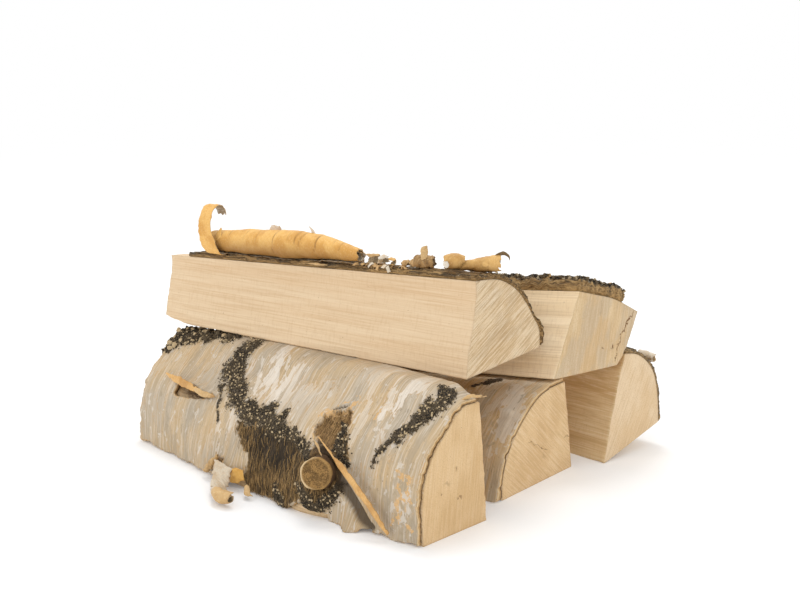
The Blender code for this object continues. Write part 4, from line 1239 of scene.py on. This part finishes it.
def middle_features(along, round_, thick):
    wander = 1.5 * mottle(along / 3, round_ / 3, 41.0)
    crust = ease(highest(along + wander, round_ + wander, MIDDLE_MARKS), -0.1, 0.4)
    lip = hump(along, round_, (17, 69), (7, 3.2))
    thick = (thick + 0.35 * mottle(along / 14, round_ / 20, 42.0)
             + 0.15 * mottle(along / 2.5, round_ / 30, 43.0))
    thick = thick + 1.0 * crust + 1.8 * lip - 1.2 * hump(along, round_, (19, 63), (8, 2.2))
    pale = 1.3 * ease(band_reach(along + 4 * wander, round_ + 3 * wander, WHITE_PATCH), 0, 0.5)
    zero = np.zeros(along.shape)
    return thick, dict(crust=crust, pale=pale, fibre=zero, torn=zero, shade=zero, char=zero,
                       scuffed=zero, whiter=zero + 0.3)


add_piece("middle_log_bark_fine", MIDDLE,
          simple_bark(MIDDLE, 0, middle_thickness, middle_features, rows=180, count=84, seed=44.0,
                      edge_seed=45.0, fray=0.5, grounded=True),
          [white_bark_finish("white_bark_middle", 1.1, (206, 186, 156), (212, 182, 138))],
          "white_bark", "middle_log_bark")


# The right log: a split billet with thin grey-brown bark, turned so that its left split face leans out
RIGHT = {**PLAIN_LOG, **dict(
    name="right_log", place=(0.1764, 0.0856, 0.0), turns=(0, 0, -4.1),
    twist=-math.degrees(math.atan2(21, 73.9)),
    sides=(("split", ((0, 0), (8, 39), (16.5, 69), (22.9, 90))),
           ("bark", ((22.9, 90), (38, 87.5), (52, 80), (64, 67.5), (70.5, 50), (73.5, 32), (73.9, 21))),
           ("flat", ((73.9, 21), (0, 0)))))}
add_piece("right_log_wood_fine", RIGHT,
          log_body(RIGHT, long_cell=2.4, fine_cell=1.5, kerf_angle=62, kerf_depth=0.12),
          [split_wood_finish("right_split_wood", pale=(222, 194, 150), tan=(206, 172, 124)),
           sawn_finish("right_sawn_end", angle=62, kerf=0.4, pale=(228, 203, 168), tan=(221, 192, 152))],
          "split_wood", "right_log_wood")


def right_thickness(along, round_, share):
    return 2.6 + 0.7 * rough(along / 15, round_ / 10, 8.0) + 3.4 * np.maximum(0, 0.2 - share) / 0.2


def right_features(along, round_, thick):
    nearest, second = lumps(along / 7, round_ / 5, 51.0)
    crack = ease(second - nearest, 0.22, 0.02)
    thick = thick + 0.5 * mottle(along / 5, round_ / 4, 52.0) - 0.9 * crack
    crust = ease(mottle(along / 16, round_ / 12, 53.0) + 0.5 * ease(along, 30, 0), 0.15, 0.5)
    return np.maximum(thick, 1.4), dict(crust=crust, crack=crack, orange=np.zeros(along.shape))


def brown_bark_finish(name, fibre_scale, brown=(158, 124, 78), deep=(96, 74, 46), crusted=1.0):
    """Inner bark: brown strands along the log, under what is left of a black and grey crust."""
    finish = Finish(name, 0.9)
    strands = finish.noise((0.05, fibre_scale, 0.9), 5, 0.66, 0.5)
    finish.colour = finish.grade(strands, 0.43, 0.56, deep, brown)
    finish.stain(strands, 0.55, 0.64, (204, 166, 112))
    blotch = finish.noise((0.06, 0.14, 0.5), 4, 0.7)
    finish.stain(blotch, 0.52, 0.6, (92, 82, 68), 0.7)
    fresh = finish.times(finish.step("inside", 0.55, 0.95), "wall")
    finish.cover(finish.times(fresh, 0.55), (190, 150, 96))
    grit = finish.noise((0.55, 0.8, 0.8), 5, 0.72)
    black = finish.grade(grit, 0.45, 0.54, (36, 30, 25), (104, 92, 74))
    black = finish.grade(grit, 0.56, 0.61, black, (206, 192, 168))
    ragged = finish.frayed("crust", grit, 1.8)
    finish.stain(ragged, 1.35, 1.5, black, crusted)
    finish.cover(finish.times("crack", 0.8), (40, 30, 22))
    finish.relief(strands, 1.4)
    finish.relief(grit, 1.3)
    return finish.done()


add_piece("right_log_bark_fine", RIGHT,
          simple_bark(RIGHT, 1, right_thickness, right_features, rows=170, count=66, seed=54.0,
                      edge_seed=56.0, fray=0.6, grounded=True),
          [brown_bark_finish("right_thin_bark", 0.5, (178, 150, 110), (130, 108, 78), 0.45)],
          "inner_bark", "right_log_bark")

papery = peel_finish("white_curl", (226, 218, 204), (206, 190, 166), (214, 186, 146), 0.6)
RIGHT_CURL = curl(((-16, 63.6, 81.3), (0, 65.8, 80.0)), radii=(4.8, 5.2, 4.2), turns=1.1, first_angle=200,
                  rows=24, steps=36)
add_piece("right_log_curl_fine", RIGHT,
          sheet_of_bark(RIGHT_CURL, thickness=0.7, seed=55.0, ragged=(1.5, 1.5, 0.8), wrinkle=0.5),
          [papery], "white_bark", "right_log_bark_curl")


# The top log: its long pale split face shows, under a band of brown fibrous inner bark.
# Its near end is sawn at a slant, and the saw left deep close stripes across it.
TOP = {**PLAIN_LOG, **dict(
    name="top_log", place=(0.1631, -0.0756, 0.100), turns=(0, 0, 5.2), length=336, far_scale=0.84,
    far_lift=5, wave=0.5,
    sides=(("split", ((0, 0), (2.3, 15.5), (8, 40), (11, 60), (10.4, 70))),
           ("bark", ((10.4, 70), (34, 68.6), (51, 63.5), (66, 55), (78, 44), (88, 32), (97, 21), (98.5, 6.2))),
           ("flat", ((98.5, 6.2), (0, 0)))))}
add_piece("top_log_wood_fine", TOP,
          log_body(TOP, long_cell=1.9, fine_cell=1.0, kerf_angle=27, kerf_depth=0.26),
          [split_wood_finish("top_split_wood", pale=(224, 198, 163), tan=(220, 191, 154), grain=0.6),
           sawn_finish("top_sawn_end", angle=27, kerf=1.1, pale=(224, 200, 164), tan=(210, 182, 142),
                       grey=0.3)],
          "split_wood", "top_log_wood")


def top_thickness(along, round_, share):
    tip = 3.5 * np.clip((share - 0.8) / 0.12, 0, 1) * np.clip((40 - along) / 30, 0, 1)
    return 3.9 + 0.8 * rough(along / 30, round_ / 6, 11.0) + tip


def top_features(along, round_, thick):
    strands = mottle(along / 26, round_ / 2.2, 61.0) + 0.5 * mottle(along / 9, round_ / 1.1, 62.0, 2)
    nearest, second = lumps(along / 22 + 0.3 * mottle(along / 8, round_ / 8, 63.0), round_ / 7, 64.0)
    crack = 0.6 * ease(second - nearest, 0.12, 0.01)
    thick = thick + 0.5 * strands - 1.0 * crack + 0.45 * mottle(along / 5, round_ / 5, 65.0)
    crust = ease(mottle(along / 18, round_ / 9, 66.0), 0.1, 0.7)
    return np.maximum(thick, 1.8), dict(crust=crust, crack=crack)


add_piece("top_log_bark_fine", TOP,
          simple_bark(TOP, 1, top_thickness, top_features, rows=232, count=92, seed=67.0,
                      edge_seed=68.0, fray=1.3, layers=9, far_cut=30),
          [brown_bark_finish("top_inner_bark", 0.42, (170, 136, 90), (112, 88, 58), 0.6)],
          "inner_bark", "top_log_bark")


# The big roll: one wide sheet of peeled bark that has rolled itself up, orange face outwards.
# Fine rings crease it, its near end is torn, and at its far end a strip stands up and hooks over.
BIG_ROLL = curl(((-285, 14, 75.4), (-245, 14, 77.8), (-200, 14, 79.8), (-150, 14, 80.6), (-111, 14, 77.4)),
                radii=(9.9, 10.6, 11.4, 12.0, 12.2, 12.0, 11.2, 9.0, 6.8), turns=1.55, first_angle=-95,
                rows=150, steps=84)
# The ring creases: how far along the roll they are, in millimetres, and how deep
RINGS = ((10, 0.3), (31, 0.7), (53, 0.4), (67, 0.4), (88, 1.0), (97, 0.5), (104, 0.3), (113, 0.9),
         (118, 0.7), (134, 1.0), (152, 0.4), (160, 0.6))
ROLL_LENGTH = 178


def big_roll():
    """The wound sheet with its ring creases, two steps where a layer ends, its torn edges, and painted shade
    on its lower side.
    """
    grid = BIG_ROLL
    rows, count = grid.shape[:2]
    run = np.linspace(0, ROLL_LENGTH, rows)[:, None] + np.zeros((1, count))
    turn = np.cumsum(np.linalg.norm(np.diff(grid, axis=1, prepend=grid[:, :1]), axis=2), axis=1)
    normals = grid_normals(grid)
    crease = np.zeros(run.shape)
    for number, (at, strength) in enumerate(RINGS):
        bent = at + 1.6 * mottle(turn / 14, 0 * turn + number, 71.0, 2)
        part_way = ease(mottle(turn / 11, 0 * turn + 3.7 * number, 72.0, 1) + strength, 0.1, 0.5)
        crease = np.maximum(crease, strength * part_way * np.exp(-((run - bent) / 0.6) ** 2))
    lift = 0.5 * mottle(run / 16, turn / 14, 73.0) - 0.55 * crease + 0.1 * mottle(run / 3, turn / 12, 74.0)
    step = 0.5 * (ease(run, 87, 88.5) - ease(run, 112, 114) - ease(run, 133, 135))
    grid = grid + normals * (lift + step)[:, :, None]
    tear = mottle(turn / 2.4, run / 9, 75.0)
    keep = np.minimum.reduce([run + 0.02 - 2.0 * (0.5 + tear), ROLL_LENGTH - run - 2.2 * (0.6 + tear),
                              turn + 0.02 - 0.6 * (0.5 + mottle(run / 4, turn, 76.0)),
                              turn[:, -1:] - turn + 0.02 - 1.0 * (0.5 + mottle(run / 4, turn, 77.0))])
    # The mark darkens the ring creases and, as painted shade, the roll towards its lower side.
    low = grid[:, :, 2:].mean(axis=1) - grid[:, :, 2]
    marks = dict(place=flat_marks(run, turn), crease=np.maximum(crease, ease(low, -7.0, 9.0)))
    return torn_shell(grid + normals * 0.5, grid - normals * 0.5, keep, marks)


roll_peel = peel_finish("roll_peel", (236, 186, 107), (216, 161, 82))
add_piece("top_log_roll_fine", TOP, big_roll(), [roll_peel], "peel", "top_log_bark_roll")

HOOK_LINE = ((12, 67), (5, 66.5), (1, 73), (0, 84), (0, 94), (4, 104), (10.5, 108), (16.5, 104.5), (18, 98.5))
HOOK_EDGES = (((0, -262), (3, -264), (5, -267), (6.5, -270.5), (16, -270)),
              ((0, -278), (3, -284), (6, -287), (12, -286), (16, -281)))


def hook():
    """The standing strip: wide where it leaves the roll, narrow where it hooks over."""
    line = curve_through(HOOK_LINE, 96)
    shares = np.linspace(0, 16, len(line))
    right, left = (np.interp(shares, *np.array(edge, float).T) for edge in HOOK_EDGES)
    across = np.linspace(0, 1, 22)[None, :]
    x = left[:, None] * (1 - across) + right[:, None] * across
    grid = np.stack([x, line[:, :1] + 0 * x, line[:, 1:] + 0 * x], axis=-1)
    return sheet_of_bark(grid, 1.0, 81.0, (0.3, 1.5, 0.7), wrinkle=0.4)


add_piece("top_log_roll_hook", TOP, hook(), [roll_peel], "peel", "top_log_bark_roll")

ROLL_FLAKES = (
    dict(spine=((-211, 18, 88.5), (-210, 18, 92), (-209, 17, 94.6)), widths=(15, 14, 11), rows=20, count=22,
         directions=((-1, 0, 0), (-1, 0, 0.05))),
    dict(spine=((-164, 16, 90), (-165, 15, 94), (-168, 14, 97.5)), widths=(5, 2.6, 0.8), rows=16, count=8,
         directions=((-1, 0, 0), (-1, 0, 0))),
    dict(spine=((-270, 5, 76), (-267, 6, 84), (-265, 7, 89)), widths=(9, 7, 3), rows=20, count=12,
         directions=((-1, 0, 0.1), (-1, 0, 0.3))),
    dict(spine=((-163, 5, 68.2), (-150, 3.5, 68.9), (-136, 4, 69.6)), widths=(0.8, 3.0, 0.8), rows=26, count=6,
         directions=((0, 0.7, 0.7), (0, 0.7, 0.7))),
)
for number, flake in enumerate(ROLL_FLAKES, 1):
    paint = {3: roll_peel, 4: torn_peel}.get(number, papery)
    add_peel(f"top_log_roll_flake_{number}", TOP, ribbon(**flake), paint,
             thickness=0.6, seed=84.0 + number, ragged=(0.3, 1.0, 0.6))


# The short roll at the top log's near end: a tight roll and a flared half-open one, torn apart, with
# a dark curled tip at the near end and small papery tags that stand off them
def rolled(name, ends, radii, turns, first_angle, seed, paint, node, thickness=0.9, wrinkle=0.5,
           ragged=(1.5, 2.0, 0.9), slot="peel"):
    """A small roll of bark, with painted shade on its lower side, in place of a CAD node or a part of one."""
    grid = curl(ends, radii, turns, first_angle, 44, 48, gap=1.5)
    points, faces, marks = sheet_of_bark(grid, thickness, seed, ragged, wrinkle=wrinkle)
    middle, wide = np.mean([point[2] for point in ends]), max(radii)
    # Painted shade: the roll is darker on its lower side.
    marks["crease"] = 0.9 * ease(middle - points[:, 2], -0.3 * wide, wide)
    add_piece(name, TOP, (points, faces, marks), [paint], slot, node)


short_peel = peel_finish("short_roll_peel", (222, 178, 110), (190, 144, 82), (150, 122, 84))
dark_peel = peel_finish("dark_curled_tip", (112, 92, 66), (80, 64, 46), (152, 126, 88))
rolled("top_log_short_roll_tight", ((-32, 14.3, 80.6), (-19.3, 23.9, 80.9)), (5.4, 6.1, 6.3, 5.2), 1.5, -95,
       91.0, short_peel, "top_log_short_roll")
rolled("top_log_short_roll_flared", ((-24, 20.4, 77.6), (-10, 31, 78.7), (1.5, 39.8, 79.8)),
       (3.4, 4.6, 6.2, 7.2), 1.1, -80, 92.0, short_peel, "top_log_short_roll", ragged=(1.0, 3.0, 0.8))
TAGS = (
    (dict(spine=((-3, 36.4, 85.4), (2.3, 40.3, 87.4), (6, 43.1, 85.2), (7.2, 43.9, 81)),
          widths=(4, 6, 5, 1), directions=((0.5, -0.6, 0.6), (0.5, -0.6, 0.5)), rows=30, count=12),
     dark_peel),
    (dict(spine=((-26.6, 10.2, 82), (-26.3, 10, 79.8), (-26, 10, 77.2)),
          widths=(4.6, 4.8, 4), rows=14, count=14, directions=((0.776, 0.631, 0), (0.76, 0.65, 0.05))),
     papery),
    (dict(spine=((-4.4, 27.6, 82.2), (-4, 27.2, 79.8), (-3.7, 27.2, 77.6)),
          widths=(4, 5, 4.2), rows=14, count=14, directions=((0.776, 0.631, 0.1), (0.76, 0.65, 0))),
     short_peel),
    (dict(spine=((-49.2, 13.6, 79), (-49.2, 13.4, 85), (-49.4, 14, 90), (-47.8, 15, 91.6)),
          widths=(5.4, 6.2, 5.6, 3), directions=((-0.776, -0.631, 0), (-0.76, -0.65, 0.05)),
          rows=36, count=16),
     torn_peel),
)
for number, (tag, paint) in enumerate(TAGS, 1):
    add_peel(f"top_log_tag_{number}", TOP, ribbon(**tag), paint,
             thickness=0.6, seed=86.0 + number, ragged=(0.3, 1.0, 0.9), bow=0.8, wrinkle=0.4)


# Three small shreds of curled bark between the rolls, each with finer curls round it
SHREDS = (((-107, 15, 77.0), (-97, 19, 77.4), 4.0, torn_peel),
          ((-95, 13, 76.6), (-87, 19, 77.0), 3.2, papery),
          ((-85, 16, 76.7), (-76, 12, 77.1), 3.0, short_peel))
for number, (start, end, radius, paint) in enumerate(SHREDS, 1):
    grid = curl((start, end), (radius, radius * 1.1, radius * 0.8), 0.8, -120, 18, 30)
    add_peel(f"top_log_shred_fine_{number}", TOP, grid, paint, f"top_log_shred_{number}",
             thickness=0.7, seed=93.0 + number, ragged=(1.2, 1.2, 0.8), wrinkle=0.9)

# The finer curly shreds between them, strewn over a patch of the bark that is taken away again
bed_x, bed_y = np.meshgrid(np.linspace(-113, -66, 48), np.linspace(9, 21, 14), indexing="ij")
bed = np.stack([bed_x, bed_y, 70.4 + 0.02 * (bed_x + 113)], axis=-1)
bed_marks = dict(thick=np.exp(-((bed_x + 92) / 20) ** 2 - ((bed_y - 14) / 5) ** 2).ravel())
bed_faces = [(i * 14 + j, (i + 1) * 14 + j, (i + 1) * 14 + j + 1, i * 14 + j + 1)
             for i in range(47) for j in range(13)]
shred_paint = strewn_finish("fine_shreds", (120, 92, 60), (206, 168, 116), (222, 208, 186), 0.58)
litter = make_piece("top_log_fine_shreds", stand(TOP, bed), bed_faces, [shred_paint], None, bed_marks)
fine_shreds = strewn("top_log_fine_shreds", litter, "thick", "shred", shred_paint, 210000, 0.0035, 0.008, 6)
bpy.data.objects.remove(litter)
hand_over(fine_shreds, "peel", "top_log_shred_1", "top_log_shred_2", "top_log_shred_3")


# The dark scrap of crumpled outer bark beside the short roll, with two smaller curled bits next to it
scrap_bark = peel_finish("scrap_bark", (186, 148, 98), (128, 98, 62), (116, 92, 64))
for name, ends, radii, seed, paint in (
        ("top_log_scrap_fine", ((-58, 13.4, 78.2), (-43, 18.8, 78.2)), (4.8, 6.4, 5.6, 4.8), 99.0,
         scrap_bark),
        ("top_log_scrap_lobe", ((-62.5, 11.8, 77.2), (-54, 14.8, 77.6)), (3.2, 4.4, 4.0), 98.0, torn_peel),
        ("top_log_scrap_chip", ((-71, 12.4, 75.6), (-63, 15.2, 75.9)), (1.8, 2.7, 2.2), 97.0, scrap_bark)):
    rolled(name, ends, radii, 0.9, -80, seed, paint, "top_log_bark_scrap", thickness=1.2, wrinkle=1.3,
           ragged=(1.5, 1.5, 1.2), slot="crust")


# The rear log: the rear of the upper two, with heavy inner bark under a black, deeply cracked crust
REAR = {**PLAIN_LOG, **dict(
    name="rear_log", place=(0.1646, 0.0281, 0.0806), turns=(-1.2, -3.5, 11.05), far_scale=0.92,
    cut_skew=-20.8,
    sides=(("split", ((0, 0), (14, 34), (28, 66.9))),
           ("bark", ((28, 66.9), (46, 62.1), (61, 58), (72, 53.3), (81, 48.5), (91, 42.9))),
           ("split", ((91, 42.9), (82, 24), (75, 10.4), (67, 1.2))),
           ("flat", ((67, 1.2), (38, 0.6), (0, 0)))))}
REAR_SPOTS = (((87, 45), (73, 27), 0.7, 0.9), ((73, 27), (65, 5), 1.0, 0.9),
              ((52, 60), (50, 44), 0.8, 0.25), ((51, 18), (52, 17), 1.3, 0.9),
              ((62, 19), (62, 16), 0.9, 0.9))
# The rear log's split wood is paler than the other logs' split wood, to make up for the shade it lies in:
# painted light.
add_piece("rear_log_wood_fine", REAR,
          log_body(REAR, long_cell=2.2, fine_cell=1.3, kerf_angle=70, kerf_depth=0.12),
          [split_wood_finish("rear_split_wood_painted_light", pale=(247, 224, 188), tan=(240, 212, 170), grain=0.6),
           sawn_finish("rear_sawn_end", angle=78, kerf=0.35, pale=(218, 192, 152), tan=(208, 178, 136),
                       grey=0.6, scars=REAR_SPOTS)],
          "split_wood", "rear_log_wood")


def rear_thickness(along, round_, share):
    return 12.5 - 2.5 * share + 2.6 * rough(along / 13, round_ / 11, 14.0)


def rear_features(along, round_, thick):
    nearest, second = lumps(along / 8 + 0.2 * mottle(along / 4, round_ / 4, 101.0), round_ / 6, 102.0)
    crack = ease(second - nearest, 0.16, 0.02)
    fine, _ = lumps(along / 2.6, round_ / 2.4, 103.0)
    thick = thick - 1.8 * crack + 1.3 * (0.6 - fine) + 0.7 * mottle(along / 5, round_ / 4, 104.0)
    crust = ease(mottle(along / 20, round_ / 14, 105.0), -0.85, -0.3)
    return np.maximum(thick, 4.0), dict(crust=crust, crack=crack)


points, faces, marks = simple_bark(REAR, 1, rear_thickness, rear_features, rows=200, count=50, seed=106.0,
                                   edge_seed=107.0, fray=1.8, layers=14, last=0.72)
marks["crust_on"] = marks["crust"] * (marks["inside"] < 0.15)
rear_bark = add_piece("rear_log_bark_fine", REAR, (points, faces, marks),
                      [brown_bark_finish("rear_thick_bark", 0.35, (204, 168, 116), (150, 118, 78))],
                      "inner_bark", "rear_log_bark")

lump_paint = strewn_finish("rear_crust_grains", (34, 28, 22), (104, 88, 66), (180, 162, 132), 0.6)
for name, kind, paint, amount, smallest, largest, seed in (
        ("rear_log_crust_lumps", "grain", lump_paint, 150000, 0.0012, 0.0042, 8),
        ("rear_log_papery_bits", "shred", shred_paint, 6000, 0.003, 0.009, 9)):
    piece = strewn(name, rear_bark, "crust_on", kind, paint, amount, smallest, largest, seed)
    hand_over(piece, "crust", "rear_log_bark")
